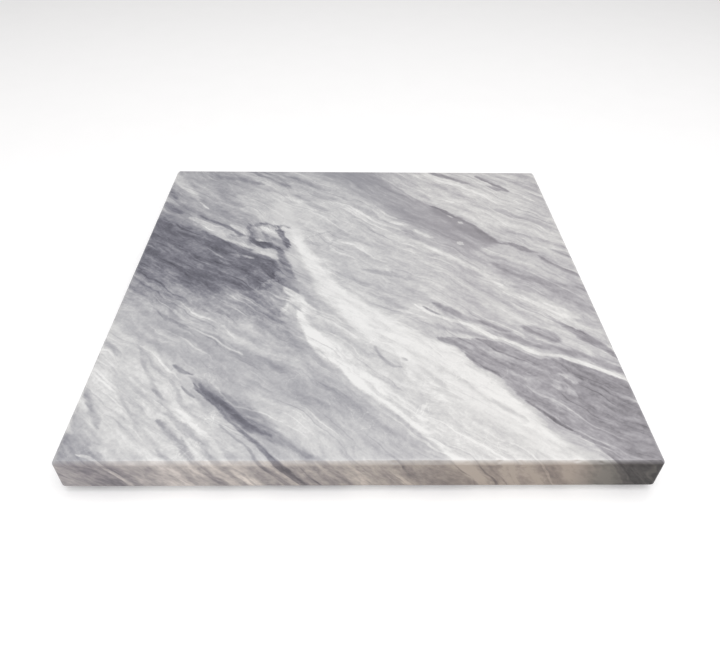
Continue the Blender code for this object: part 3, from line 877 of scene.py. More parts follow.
    def _patchy_cover(self, tree: Tree, cover: Node, fraying: Fraying) -> Node:
        """Make a layer's cover thick in one place and thin in another.

        Args:
            tree: the material's node tree.
            cover: the noise that says where.
            fraying: the layer's weakest and fullest cover.

        Returns:
            The node that gives the cover.
        """
        return add_node(
            tree,
            "MapRange",
            {
                "Value": cover.outputs["Fac"],
                **between(self.cover_noise),
                "To Min": fraying.weakest,
                "To Max": fraying.fullest,
            },
        )

    def _frayed_axes(
        self,
        tree: Tree,
        grain: Node,
        fray: Node,
        wobble: Node,
        fraying: Fraying,
    ) -> tuple[Socket, Socket]:
        """Shift the grain coordinates by the fibre noise, as far as one kind of edge frays.

        Args:
            tree: the material's node tree.
            grain: the node with grain coordinates in mm.
            fray: fine fibre noise, which shifts along the grain.
            wobble: wider noise, which shifts across it.
            fraying: how far the edge strays.

        Returns:
            The sockets with the place along the grain in mm, and across it as a share of
            the figure's whole reach.
        """
        offsets = add_node(tree, "CombineXYZ", {0: fray.outputs["Fac"], 1: wobble.outputs["Fac"]})
        offsets = add_node(tree, "VectorMath", {0: offsets, 1: (0.5, 0.5, 0.0)}, operation="SUBTRACT")
        reach = (NOISE_STRETCH * fraying.along, NOISE_STRETCH * fraying.across, 0.0)
        shifted = add_node(tree, "VectorMath", {0: offsets, 1: reach, 2: grain}, operation="MULTIPLY_ADD")
        axes = add_node(tree, "SeparateXYZ", {0: shifted})
        across = add_node(
            tree,
            "MapRange",
            {"Value": axes.outputs["Y"], "From Min": -FIGURE_REACH, "From Max": FIGURE_REACH},
            clamp=False,
        )
        return axes.outputs["X"], across.outputs[0]

    def _lay(self, tree: Tree, layer: Layer, axes: tuple[Socket, Socket, Node], ground: Node) -> Node:
        """Lay one bed or vein over the tone so far.

        Args:
            tree: the material's node tree.
            layer: the bed or vein.
            axes: the place along the grain, the place across it, and the layer's cover.
            ground: the node with the tone so far.

        Returns:
            The node with the new tone.
        """
        along, across, cover = axes
        upper, lower = layer.borders()
        softness = layer.softness()
        close = TIP_LENGTH + max(softness)
        starts = min(upper[0][0], lower[0][0]) - TIP_SPARE * close
        ends = max(upper[-1][0], lower[-1][0]) + TIP_SPARE * close
        # The curves and the smooth steps stop at their own ends, so nothing here is clamped:
        # a clamp would hold every layer's value back until all of them are worked out.
        run = add_node(tree, "MapRange", {"Value": along, "From Min": starts, "From Max": ends}, clamp=False)
        masks = []
        for border, blur, outward in ((upper, softness[0], 1.0), (lower, softness[1], -1.0)):
            first = (border[0][0] - close, border[0][1] - outward * close)
            last = (border[-1][0] + close, border[-1][1] - outward * close)
            line = add_node(tree, "FloatCurve", {"Value": run})
            shape_curve(line, [first, *border, last], starts, ends)
            inside = add_node(
                tree,
                "Math",
                {0: line, 1: across} if outward > 0 else {0: across, 1: line},
                operation="SUBTRACT",
            )
            reach = blur / 2.0 / (2.0 * FIGURE_REACH)
            masks.append(
                add_node(tree, "MapRange", {"Value": inside, "From Min": -reach, "From Max": reach}, **SMOOTH)
            )
        mask = add_node(tree, "Math", {0: masks[0], 1: masks[1]}, operation="MULTIPLY")
        covered = add_node(tree, "Math", {0: mask, 1: cover}, operation="MULTIPLY")
        share = add_node(tree, "Math", {0: covered, 1: layer.strength}, operation="MULTIPLY")
        return add_node(tree, "Mix", {0: share, 2: ground, 3: layer.tone}, data_type="FLOAT")

    def _add_streaks(
        self,
        tree: Tree,
        flow: Node,
        tone: Node,
        streaks: tuple[Streak, ...],
        strength: Node,
    ) -> Node:
        """Run streaks of several sizes along the bent grain.

        Args:
            tree: the material's node tree.
            flow: the node with bent grain coordinates in mm.
            tone: the node with the tone so far.
            streaks: the sizes of streak.
            strength: the node that says how strongly they show.

        Returns:
            The node with the new tone.
        """
        for streak in streaks:
            lump = (streak.length, streak.width, streak.length)
            fibre = drawn_out_noise(tree, flow, lump, Detail=streak.detail, Distortion=0.25)
            pull = add_node(tree, "Math", {0: fibre.outputs["Fac"], 1: 0.5}, operation="SUBTRACT")
            pull = add_node(tree, "Math", {0: pull, 1: strength}, operation="MULTIPLY")
            tone = add_node(tree, "Math", {0: pull, 1: streak.pull, 2: tone}, operation="MULTIPLY_ADD")
        return tone

    def _add_hairlines(self, tree: Tree, flow: Node, tone: Node, strength: Node) -> Node:
        """Rule long thin lines along the grain, dark where graphite ran and pale between.

        Args:
            tree: the material's node tree.
            flow: the node with bent grain coordinates in mm.
            tone: the node with the tone so far.
            strength: the node that says how strongly they show.

        Returns:
            The node with the new tone.
        """
        lump = (self.hairline_length, self.hairline_width, self.hairline_length)
        lines = drawn_out_noise(tree, flow, lump, Detail=2.0)
        pulls = ((self.graphite_noise, -self.hairline_pull), (self.calcite_noise, self.hairline_pull))
        for ends, pull in pulls:
            mask = add_node(
                tree,
                "MapRange",
                {"Value": lines.outputs["Fac"], **between(ends), "To Max": pull},
                **SMOOTH,
            )
            tone = add_node(tree, "Math", {0: mask, 1: strength, 2: tone}, operation="MULTIPLY_ADD")
        return tone

    def _add_cracks(self, tree: Tree, grain: Node, tone: Node) -> Node:
        """Thread pale healed cracks through scattered patches of the stone.

        Args:
            tree: the material's node tree.
            grain: the node with grain coordinates in mm.
            tone: the node with the tone so far.

        Returns:
            The node with the new tone.
        """
        ground = add_node(
            tree,
            "TexNoise",
            {"Vector": grain, "Scale": 1.0 / self.crack_mm, "Detail": 3.0, "Distortion": 0.6},
        )
        away = add_node(tree, "Math", {0: ground.outputs["Fac"], 1: 0.5}, operation="SUBTRACT")
        away = add_node(tree, "Math", {0: away}, operation="ABSOLUTE")
        thread = add_node(
            tree,
            "MapRange",
            {"Value": away, "From Min": self.crack_width, "From Max": 0.0, "To Max": self.crack_pull},
            **SMOOTH,
        )
        patches = add_node(tree, "TexNoise", {"Vector": grain, "Scale": 0.4 / self.crack_mm, "Detail": 1.0})
        patchy = add_node(
            tree,
            "MapRange",
            {"Value": patches.outputs["Fac"], **between(self.crack_patch_noise)},
            **SMOOTH,
        )
        return add_node(tree, "Math", {0: thread, 1: patchy, 2: tone}, operation="MULTIPLY_ADD")

    def _strengthen_sides(self, tree: Tree, strength: Node, facing: Node) -> Node:
        """Let the fibres show more on the upright sides, where the saw cut across the beds.

        Args:
            tree: the material's node tree.
            strength: the node that says how strongly the fibres show.
            facing: the node with the separate parts of the surface's direction.

        Returns:
            The node with the new strength.
        """
        upright = add_node(
            tree,
            "MapRange",
            {"Value": facing.outputs["Z"], **between(self.upright_facing), "To Max": self.side_gain},
            **SMOOTH,
        )
        return add_node(tree, "Math", {0: strength, 1: upright}, operation="ADD")

    def _lift_arris(self, tree: Tree, tone: Node, facing: Node) -> Node:
        """Whiten the eased edges, where rubbing has bruised the crystals.

        Args:
            tree: the material's node tree.
            tone: the node with the tone so far.
            facing: the node with the separate parts of the surface's direction.

        Returns:
            The node with the new tone.
        """
        steep = add_node(
            tree,
            "MapRange",
            {"Value": facing.outputs["Z"], **between(self.arris_from_side)},
            **SMOOTH,
        )
        flat = add_node(
            tree,
            "MapRange",
            {"Value": facing.outputs["Z"], **between(self.arris_from_flat)},
            **SMOOTH,
        )
        both = add_node(tree, "Math", {0: steep, 1: flat}, operation="MULTIPLY")
        return add_node(tree, "Math", {0: both, 1: self.arris_lift, 2: tone}, operation="MULTIPLY_ADD")

    def _add_crystals(self, tree: Tree, place: Node, tone: Node) -> Node:
        """Speckle the tone with calcite crystals.

        Args:
            tree: the material's node tree.
            place: the node with the place in mm.
            tone: the node with the tone so far.

        Returns:
            The node with the new tone.
        """
        crystals = add_node(
            tree, "TexNoise", {"Vector": place, "Scale": 1.0 / self.crystal_mm, "Detail": 1.0}
        )
        centred = add_node(tree, "Math", {0: crystals.outputs["Fac"], 1: 0.5}, operation="SUBTRACT")
        return add_node(tree, "Math", {0: centred, 1: self.crystal_pull, 2: tone}, operation="MULTIPLY_ADD")

    def _colour(self, tree: Tree, tone: Node, place: Node) -> Socket:
        """Turn tone into the stone's colour.

        Args:
            tree: the material's node tree.
            tone: the node with the tone.
            place: the node with the place in mm.

        Returns:
            The socket with the colour.
        """
        ramps = [self._ramp(tree, tone, tones) for tones in (self.smoky_tones, self.ashen_tones)]
        axes = add_node(tree, "SeparateXYZ", {0: place})
        ashen = add_node(tree, "MapRange", {"Value": axes.outputs["X"], **between(self.ashen_mm)}, **SMOOTH)
        mixed = add_node(
            tree,
            "Mix",
            {0: ashen, 6: ramps[0].outputs["Color"], 7: ramps[1].outputs["Color"]},
            data_type="RGBA",
        )
        return mixed.outputs[2]

    def _paint_front_shade(self, tree: Tree, colour: Socket, place: Node, facing: Node) -> Socket:
        """Paint shade onto the front face: warm, and darker towards the right.

        Args:
            tree: the material's node tree.
            colour: the socket with the stone's colour.
            place: the node with the place in mm.
            facing: the node with the separate parts of the surface's direction.

        Returns:
            The socket with the stained colour.
        """
        front = add_node(
            tree,
            "MapRange",
            {"Value": facing.outputs["Y"], **between(self.front_facing)},
            **SMOOTH,
        )
        axes = add_node(tree, "SeparateXYZ", {0: place})
        run = add_node(
            tree,
            "MapRange",
            {"Value": axes.outputs["X"], "From Min": -self.front_shade_reach_mm, "From Max": self.front_shade_reach_mm},
        )
        # Multiply the painted shade into the colour of the front face.
        shaded_front = add_node(
            tree,
            "Mix",
            {0: front, 6: colour, 7: self._ramp(tree, run, self.front_shade_tones).outputs["Color"]},
            data_type="RGBA",
            blend_type="MULTIPLY",
        )
        return shaded_front.outputs[2]

    def _ramp(self, tree: Tree, tone: Node, tones: tuple[tuple[float, str], ...]) -> Node:
        """Give each tone its colour.

        Args:
            tree: the material's node tree.
            tone: the node with the tone.
            tones: (tone, sRGB hex colour) from dark to light.

        Returns:
            The ramp node.
        """
        ramp = add_node(tree, "ValToRGB", {"Fac": tone})
        stops = ramp.color_ramp.elements
        for stop, (position, code) in zip(stops, (tones[0], tones[-1])):
            stop.position = position
            stop.color = linear(code)
        for position, code in tones[1:-1]:
            stops.new(position).color = linear(code)
        return ramp

    def _surface(self, tree: Tree, shader: Node, place: Node, facing: Node) -> None:
        """Set how the stone shines: honed on top, coarser where the saw left it.

        Args:
            tree: the material's node tree.
            shader: the material's shader.
            place: the node with the place in mm.
            facing: the node with the separate parts of the surface's direction.
        """
        honed = add_node(
            tree,
            "MapRange",
            {"Value": facing.outputs["Z"], **between(self.honed_facing)},
            **SMOOTH,
        )
        crystals = add_node(
            tree, "TexNoise", {"Vector": place, "Scale": 1.0 / self.crystal_mm, "Detail": 2.0}
        )
        base = add_node(
            tree,
            "MapRange",
            {"Value": honed, "To Min": self.sawn_roughness, "To Max": self.honed_roughness},
        )
        centred = add_node(tree, "Math", {0: crystals.outputs["Fac"], 1: 0.5}, operation="SUBTRACT")
        roughness = add_node(
            tree, "Math", {0: centred, 1: self.roughness_speckle, 2: base}, operation="MULTIPLY_ADD"
        )
        tree.links.new(roughness.outputs[0], shader.inputs["Roughness"])

        grind = self._saw_marks(tree, place)
        sawn = add_node(tree, "Math", {0: 1.0, 1: honed}, operation="SUBTRACT")
        rough_height = add_node(tree, "Math", {0: grind, 1: sawn}, operation="MULTIPLY")
        fine_height = add_node(
            tree,
            "Math",
            {0: crystals.outputs["Fac"], 1: self.crystal_relief, 2: rough_height},
            operation="MULTIPLY_ADD",
        )
        relief = add_node(
            tree,
            "Bump",
            {"Height": fine_height, "Strength": self.relief_strength, "Distance": self.relief_mm * MM},
        )
        tree.links.new(relief.outputs["Normal"], shader.inputs["Normal"])

    def _saw_marks(self, tree: Tree, place: Node) -> Node:
        """Draw the fine scratches that a wet saw leaves along the sides and the underside.

        Args:
            tree: the material's node tree.
            place: the node with the place in mm.

        Returns:
            The node with the scratches' height, about 0 to 1.
        """
        scratch = (self.scratch_length, self.scratch_length, self.scratch_width)
        return drawn_out_noise(tree, place, scratch, Detail=3.0)


def shape_curve(curve_node: Node, points: list[Point], starts: float, ends: float) -> None:
    """Draw a border into a Float Curve node.

    Args:
        curve_node: the node.
        points: (along, across) points in mm, in order along the grain.
        starts: the place along the grain, in mm, that the curve's 0 stands for.
        ends: the place along the grain, in mm, that its 1 stands for.
    """
    mapping = curve_node.mapping
    mapping.extend = "HORIZONTAL"
    curve = mapping.curves[0]
    shares = [
        ((along - starts) / (ends - starts), across / (2.0 * FIGURE_REACH) + 0.5)
        for along, across in points
    ]
    curve.points[0].location = shares[0]
    curve.points[1].location = shares[-1]
    for share in shares[1:-1]:
        curve.points.new(*share)
    for point in curve.points:
        point.handle_type = "AUTO_CLAMPED"
    mapping.update()


@dataclass(frozen=True)
class MouldedRubber:
    """Grey polyurethane bumper, moulded: a fine spark-eroded matt skin that scatters the
    light broadly, a little darker and dustier on its sole."""

    body: str = "4c4d50"
    dust: str = "6c6c6c"
    dust_share: float = 0.55
    dust_patch_mm: float = 2.5
    sole_facing: Point = (-0.3, -1.0)
    grain_mm: float = 0.35
    relief_mm: float = 0.05
    relief_strength: float = 0.4
    roughness: float = 0.72
    ior: float = 1.50

    def make(self) -> Material:
        """Build the feet's material."""
        uniform = {"Roughness": self.roughness, "IOR": self.ior}
        material, tree, shader = new_material("moulded_grey_rubber", uniform)
        source = add_node(tree, "TexCoord")
        place = add_node(
            tree,
            "VectorMath",
            {0: source.outputs["Object"], 1: (PER_MM, PER_MM, PER_MM)},
            operation="MULTIPLY",
        )
        skin = add_node(tree, "TexNoise", {"Vector": place, "Scale": 1.0 / self.grain_mm, "Detail": 2.0})
        facing = add_node(tree, "SeparateXYZ", {0: source.outputs["Normal"]})
        downward = add_node(
            tree,
            "MapRange",
            {"Value": facing.outputs["Z"], **between(self.sole_facing), "To Max": self.dust_share},
        )
        patches = add_node(
            tree, "TexNoise", {"Vector": place, "Scale": 1.0 / self.dust_patch_mm, "Detail": 3.0}
        )
        dusty = add_node(tree, "Math", {0: downward, 1: patches.outputs["Fac"]}, operation="MULTIPLY")
        colour = add_node(
            tree, "Mix", {0: dusty, 6: linear(self.body), 7: linear(self.dust)}, data_type="RGBA"
        )
        tree.links.new(colour.outputs[2], shader.inputs["Base Color"])
        relief = add_node(
            tree,
            "Bump",
            {
                "Height": skin.outputs["Fac"],
                "Strength": self.relief_strength,
                "Distance": self.relief_mm * MM,
            },
        )
        tree.links.new(relief.outputs["Normal"], shader.inputs["Normal"])
        return material


@dataclass(frozen=True)
class AcrylicFilm:
    """Cast acrylic adhesive film: milky and slightly glossy, with faint trapped bubbles."""

    body: str = "c9c8c2"
    bubble: str = "e4e3de"
    bubble_mm: float = 0.6
    bubble_rim: Point = (0.25, 0.15)
    roughness: float = 0.30
    ior: float = 1.47

    def make(self) -> Material:
        """Build the adhesive's material."""
        uniform = {"Roughness": self.roughness, "IOR": self.ior}
        material, tree, shader = new_material("cast_acrylic_adhesive", uniform)
        source = add_node(tree, "TexCoord")
        cells = add_node(
            tree,
            "TexVoronoi",
            {"Vector": source.outputs["Object"], "Scale": PER_MM / self.bubble_mm},
        )
        bubbles = add_node(tree, "MapRange", {"Value": cells.outputs["Distance"], **between(self.bubble_rim)})
        colour = add_node(
            tree, "Mix", {0: bubbles, 6: linear(self.body), 7: linear(self.bubble)}, data_type="RGBA"
        )
        tree.links.new(colour.outputs[2], shader.inputs["Base Color"])
        return material


@dataclass(frozen=True)
class PaperSweep:
    """Uncoated white studio paper: quite matt, with the faintest fibre cloud, and the
    slight glow of its optical brightener."""

    light: str = "fdfdfd"
    shade: str = "f9f9f9"
    cloud_mm: float = 30.0
    glow: float = 0.12
    roughness: float = 0.95
    sheen_level: float = 0.1

    def make(self) -> Material:
        """Build the floor's material."""
        uniform = {
            "Roughness": self.roughness,
            "Specular IOR Level": self.sheen_level,
            "Emission Color": linear(self.light),
            "Emission Strength": self.glow,
        }
        material, tree, shader = new_material("matt_white_paper", uniform)
        source = add_node(tree, "TexCoord")
        clouds = add_node(
            tree,
            "TexNoise",
            {"Vector": source.outputs["Object"], "Scale": PER_MM / self.cloud_mm, "Detail": 3.0},
        )
        colour = add_node(
            tree,
            "Mix",
            {0: clouds.outputs["Fac"], 6: linear(self.light), 7: linear(self.shade)},
            data_type="RGBA",
        )
        tree.links.new(colour.outputs[2], shader.inputs["Base Color"])
        return material


# ---------------------------------------------------------------------------- the pieces


def place_piece(piece: Piece, slot: str, *nodes: str) -> Piece:
    """Fix a finished piece to the block, in place of the CAD nodes it stands for.

    Args:
        piece: the piece, already in place.
        slot: the record's material slot; not used.
        nodes: the CAD nodes that it replaces.

    Returns:
        The same piece.
    """
    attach(piece, "root")
    if nodes:
        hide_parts(*nodes)
    return piece


def link_mesh(name: str, mesh: Mesh, material: Material) -> Piece:
    """Put a finished mesh into the scene as an object that wears one material."""
    mesh.materials.append(material)
    piece = bpy.data.objects.new(name, mesh)
    bpy.context.scene.collection.objects.link(piece)
    return piece


@dataclass(frozen=True)
class Ring:
    """One loop of points round the block: how far in, how high, its corners and its count."""

    inset: float
    height: float
    radius: float
    halvings: int = 0
    wear: float = 0.0


@dataclass
class StoneSlab:
    """The block of marble, honed flat on top, with edges eased by hand.

    The block is a stack of rings from the middle of the working face, out over the edge,
    down the side and in again underneath. Every ring starts at the middle of the back
    right corner.
    """

    corner_radius: float = 3.0 * MM
    top_ease: float = 2.0 * MM
    bottom_ease: float = 1.5 * MM
    bevel_share: float = 0.6
    ease_steps: int = 7
    side_steps: int = 8
    straight_points: int = 368
    corner_points: int = 16
    # Insets and corner radii, in mm, of the rings on a flat face. Each has half the points of
    # the one before.
    flat_rings: tuple[Point, ...] = ((4.0, 1.5), (6.5, 3.0), (11.0, 5.0), (19.0, 0.0))
    # Wear: how deep it goes, how long its lumps are in mm, and the noise that it starts from.
    ease_stray: float = 0.16 * MM
    chip_depth: float = 0.45 * MM
    hollow: float = 0.06 * MM
    chip_mm: float = 2.6
    bruise_mm: float = 6.5
    stray_mm: float = 21.0
    hollow_mm: float = 17.0
    chip_noise: float = 0.30
    bruise_noise: float = 0.34
    bruise_share: float = 0.5
    drop_share: float = 0.8
    arris_wear: float = 0.25
    side_wear: float = 0.1
    finish: HonedMarble = field(default_factory=HonedMarble)

    def build(self) -> Piece:
        """Make the stone in place of its CAD solid."""
        low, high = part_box("stone_slab")
        mesh = self._mesh(low, high)
        mesh.shade_smooth()
        piece = link_mesh("marble_block", mesh, self.finish.make(high.z))
        return place_piece(piece, "marble", "stone_slab")

    def _outline(self, low: Vector, high: Vector, ring: Ring) -> list[Vector]:
        """Lay out the points of one ring.

        Args:
            low: the block's lowest corner.
            high: its highest corner.
            ring: the ring.

        Returns:
            The points, anticlockwise from the middle of the back right corner.
        """
        straight = self.straight_points >> ring.halvings
        corner = self.corner_points >> ring.halvings
        if ring.radius == 0.0:
            straight, corner = straight + corner, 0
        half_x = (high.x - low.x) / 2 - ring.inset
        half_y = (high.y - low.y) / 2 - ring.inset
        points = []
        for quarter in range(4):
            across, up = (half_x, half_y) if quarter % 2 == 0 else (half_y, half_x)
            turn = Matrix.Rotation(quarter * math.pi / 2, 3, "Z")
            for step in range(corner // 2, corner):
                angle = math.pi / 2 * step / corner
                points.append(turn @ self._on_corner(across, up, ring, angle))
            for step in range(straight):
                x = (across - ring.radius) * (1.0 - 2.0 * step / straight)
                points.append(turn @ Vector((x, up, ring.height)))
            for step in range(corner // 2):
                angle = math.pi / 2 + math.pi / 2 * step / corner
                points.append(turn @ self._on_corner(-across, up, ring, angle))
        middle = (low + high) / 2
        return [Vector((p.x + middle.x, p.y + middle.y, p.z)) for p in points]

    def _on_corner(self, across: float, up: float, ring: Ring, angle: float) -> Vector:
        """Find a point on a rounded corner, whose arc is centred inside the given corner."""
        side = math.copysign(1.0, across)
        centre = Vector((across - side * ring.radius, up - ring.radius, ring.height))
        return centre + ring.radius * Vector((math.cos(angle), math.sin(angle), 0.0))

    def _eased(self, reach: float, turn: float) -> Point:
        """Find a point on an eased edge, part way between a rounded and a bevelled one.

        Args:
            reach: how far the easing cuts into both faces.
            turn: the angle round the edge, from 0 on the side to a right angle on the flat.

        Returns:
            How far in from the side, and how far from the flat face.
        """
        share = turn / (math.pi / 2)
        round_in, round_off = 1.0 - math.cos(turn), 1.0 - math.sin(turn)
        bevel = self.bevel_share
        inset = reach * ((1.0 - bevel) * round_in + bevel * share)
        drop = reach * ((1.0 - bevel) * round_off + bevel * (1.0 - share))
        return inset, drop

    def _flat_rings(self, height: float) -> list[Ring]:
        """List the rings of a flat face, from its edge to its inside."""
        return [
            Ring(inset * MM, height, radius * MM, halvings)
            for halvings, (inset, radius) in enumerate(self.flat_rings)
        ]

    def _edge_rings(self, flat: float, reach: float, up: float) -> list[Ring]:
        """List the rings of an eased edge, from its flat face to the side.

        Args:
            flat: the flat face's height.
            reach: how far the easing cuts into both faces.
            up: 1 for the working face's edge, -1 for the underside's.

        Returns:
            The rings.
        """
        rings = []
        for step in range(self.ease_steps + 1):
            turn = math.pi / 2 * (1.0 - step / self.ease_steps)
            inset, drop = self._eased(reach, turn)
            wear = math.sin(2.0 * turn) + self.arris_wear
            rings.append(Ring(inset, flat - up * drop, self.corner_radius - inset, 0, wear))
        return rings

    def _rings(self, low: Vector, high: Vector) -> list[Ring]:
        """List the rings from the working face's inside to the underside's inside."""
        side = []
        top, bottom = high.z - self.top_ease, low.z + self.bottom_ease
        for step in range(1, self.side_steps):
            height = top + (bottom - top) * step / self.side_steps
            side.append(Ring(0.0, height, self.corner_radius, 0, self.side_wear))
        return [
            *self._flat_rings(high.z)[::-1],
            *self._edge_rings(high.z, self.top_ease, 1.0),
            *side,
            *self._edge_rings(low.z, self.bottom_ease, -1.0)[::-1],
            *self._flat_rings(low.z),
        ]

    def _worn(self, point: Vector, ring: Ring, middle: Vector, high: Vector, low: Vector) -> Vector:
        """Wear a point back from the eased edge, so that no edge is quite even.

        Args:
            point: the point as it was cut.
            ring: its ring.
            middle: the block's middle.
            high: the block's highest corner.
            low: its lowest corner.

        Returns:
            The point, moved into the block and never out of it.
        """
        if ring.wear == 0.0:
            return point
        at = Vector((point.x, point.y, middle.z)) * PER_MM
        chip = max(0.0, noise.noise(at / self.chip_mm) - self.chip_noise)
        bruise = max(0.0, noise.noise(at / self.bruise_mm) - self.bruise_noise)
        stray = 0.5 + 0.5 * noise.noise(at / self.stray_mm)
        hollow = 0.5 + 0.5 * noise.noise(Vector((at.x, at.y, point.z * PER_MM)) / self.hollow_mm)
        inward = Vector((middle.x - point.x, middle.y - point.y, 0.0))
        if abs(inward.x) > abs(inward.y):
            inward.y *= 0.0 if abs(inward.x) - abs(inward.y) > self.corner_radius else 1.0
        else:
            inward.x *= 0.0 if abs(inward.y) - abs(inward.x) > self.corner_radius else 1.0
        inward.normalize()
        broken = self.chip_depth * (chip + self.bruise_share * bruise)
        depth = ring.wear * (broken + self.ease_stray * stray) + self.hollow * hollow
        towards_middle = 1.0 if point.z > middle.z else -1.0
        flat = high.z if point.z > middle.z else low.z
        edge_share = max(0.0, 1.0 - abs(flat - point.z) / self.top_ease)
        worn = point + inward * depth
        if point.z not in (high.z, low.z):
            worn.z -= towards_middle * depth * self.drop_share * edge_share
        return worn

    def _mesh(self, low: Vector, high: Vector) -> Mesh:
        """Build the block as one closed mesh with its bake map.

        Args:
            low: the block's lowest corner.
            high: its highest corner.

        Returns:
            The mesh.
        """
        middle = (low + high) / 2
        rings = self._rings(low, high)
        verts: list[Vector] = []
        starts: list[int] = []
        for ring in rings:
            starts.append(len(verts))
            verts += [self._worn(p, ring, middle, high, low) for p in self._outline(low, high, ring)]
        starts.append(len(verts))
        faces: list[tuple[int, ...]] = []
        for index in range(len(rings) - 1):
            outer = range(starts[index], starts[index + 1])
            inner = range(starts[index + 1], starts[index + 2])
            faces += bridge(outer, inner)
        self._fill(verts, faces, range(starts[0], starts[1]), upward=True)
        self._fill(verts, faces, range(starts[-2], starts[-1]), upward=False)
        mesh = bpy.data.meshes.new("marble_block")
        mesh.from_pydata(verts, [], faces)
        mesh.validate()
        self._bake_map(mesh, low, high)
        return mesh

    def _fill(self, verts: list[Vector], faces: list[tuple[int, ...]], ring: range, upward: bool) -> None:
        """Close a square ring with a grid of squares.

        Args:
            verts: the mesh's points, which grow.
            faces: the mesh's faces, which grow.
            ring: the square ring's point numbers, from one corner round.
            upward: whether the grid faces up.
        """
        side = len(ring) // 4
        grid: dict[tuple[int, int], int] = {}
        for step in range(side):
            grid[(side - step, side)] = ring[step]
            grid[(0, side - step)] = ring[side + step]
            grid[(step, 0)] = ring[2 * side + step]
            grid[(side, step)] = ring[3 * side + step]
        first, last = verts[grid[(0, 0)]], verts[grid[(side, side)]]
        for row in range(1, side):
            for column in range(1, side):
                grid[(column, row)] = len(verts)
                x = first.x + (last.x - first.x) * column / side
                y = first.y + (last.y - first.y) * row / side
                verts.append(Vector((x, y, first.z)))
        for row in range(side):
            for column in range(side):
                square = (
                    grid[(column, row)],
                    grid[(column + 1, row)],
                    grid[(column + 1, row + 1)],
                    grid[(column, row + 1)],
                )
                faces.append(square if upward else square[::-1])

    def _bake_map(self, mesh: Mesh, low: Vector, high: Vector) -> None:
        """Give the working face most of the texture, the sides four strips, the underside a corner.

        Args:
            mesh: the finished mesh.
            low: the block's lowest corner.
            high: its highest corner.
        """
        width, depth = high.x - low.x, high.y - low.y
        developed = self.top_ease + self.bottom_ease + high.z - low.z
        top_share, under_share, margin = 0.715, 0.265, 0.008
        layer = mesh.uv_layers.new(name="OFBake")
        for face in mesh.polygons:
            normal = face.normal
            for loop in face.loop_indices:
                point = mesh.vertices[mesh.loops[loop].vertex_index].co
                across = (point.x - low.x) / width
                back = (point.y - low.y) / depth
                if normal.z > FLAT_NORMAL:
                    spot = (margin + across * top_share, margin + back * top_share)
                elif normal.z < -FLAT_NORMAL:
                    spot = (margin * 2 + top_share + across * under_share, margin + back * under_share)
                else:
                    strip, run = side_strip(normal, across, back)
                    drop = (high.z - point.z + inset_of(point, low, high)) / developed
                    height = (1.0 - top_share - 6 * margin) / 4
                    base = 2 * margin + top_share + strip * (height + margin)
                    spot = (margin + run * top_share, base + (1.0 - drop) * height)
                layer.data[loop].uv = spot


def bridge(outer: range, inner: range) -> list[tuple[int, ...]]:
    """Join two rings whose counts are equal, or in the ratio of two to one.

    Args:
        outer: the first ring's point numbers.
        inner: the second ring's point numbers.

    Returns:
        The faces between them, facing out when the second ring lies outside or below.
    """
    faces: list[tuple[int, ...]] = []
    many, few = len(outer), len(inner)
    if many == few:
        for i in range(many):
            j = (i + 1) % many
            faces.append((outer[i], inner[i], inner[j], outer[j]))
    elif many * 2 == few:
        for i in range(many):
            j = (i + 1) % many
            a, b, c = 2 * i, 2 * i + 1, (2 * i + 2) % few
            faces.append((outer[i], inner[a], inner[b]))
            faces.append((outer[i], inner[b], outer[j]))
            faces.append((outer[j], inner[b], inner[c]))
    else:
        faces = [face[::-1] for face in bridge(inner, outer)]
    return faces


def inset_of(point: Vector, low: Vector, high: Vector) -> float:
    """Measure how far in from the block's nearest side a point is, on the top half only."""
    if point.z < (low.z + high.z) / 2:
        return 0.0
    return min(point.x - low.x, high.x - point.x, point.y - low.y, high.y - point.y)


def side_strip(normal: Vector, across: float, back: float) -> tuple[int, float]:
    """Choose the strip of the bake map for a side face, and the place along it.

    Args:
        normal: the face's normal.
        across: the point's share of the width.
        back: its share of the depth.

    Returns:
        The strip's number and the share of its length.
    """
    if abs(normal.y) >= abs(normal.x):
        return (0, across) if normal.y < 0 else (1, 1.0 - across)
    return (2, back) if normal.x > 0 else (3, 1.0 - back)


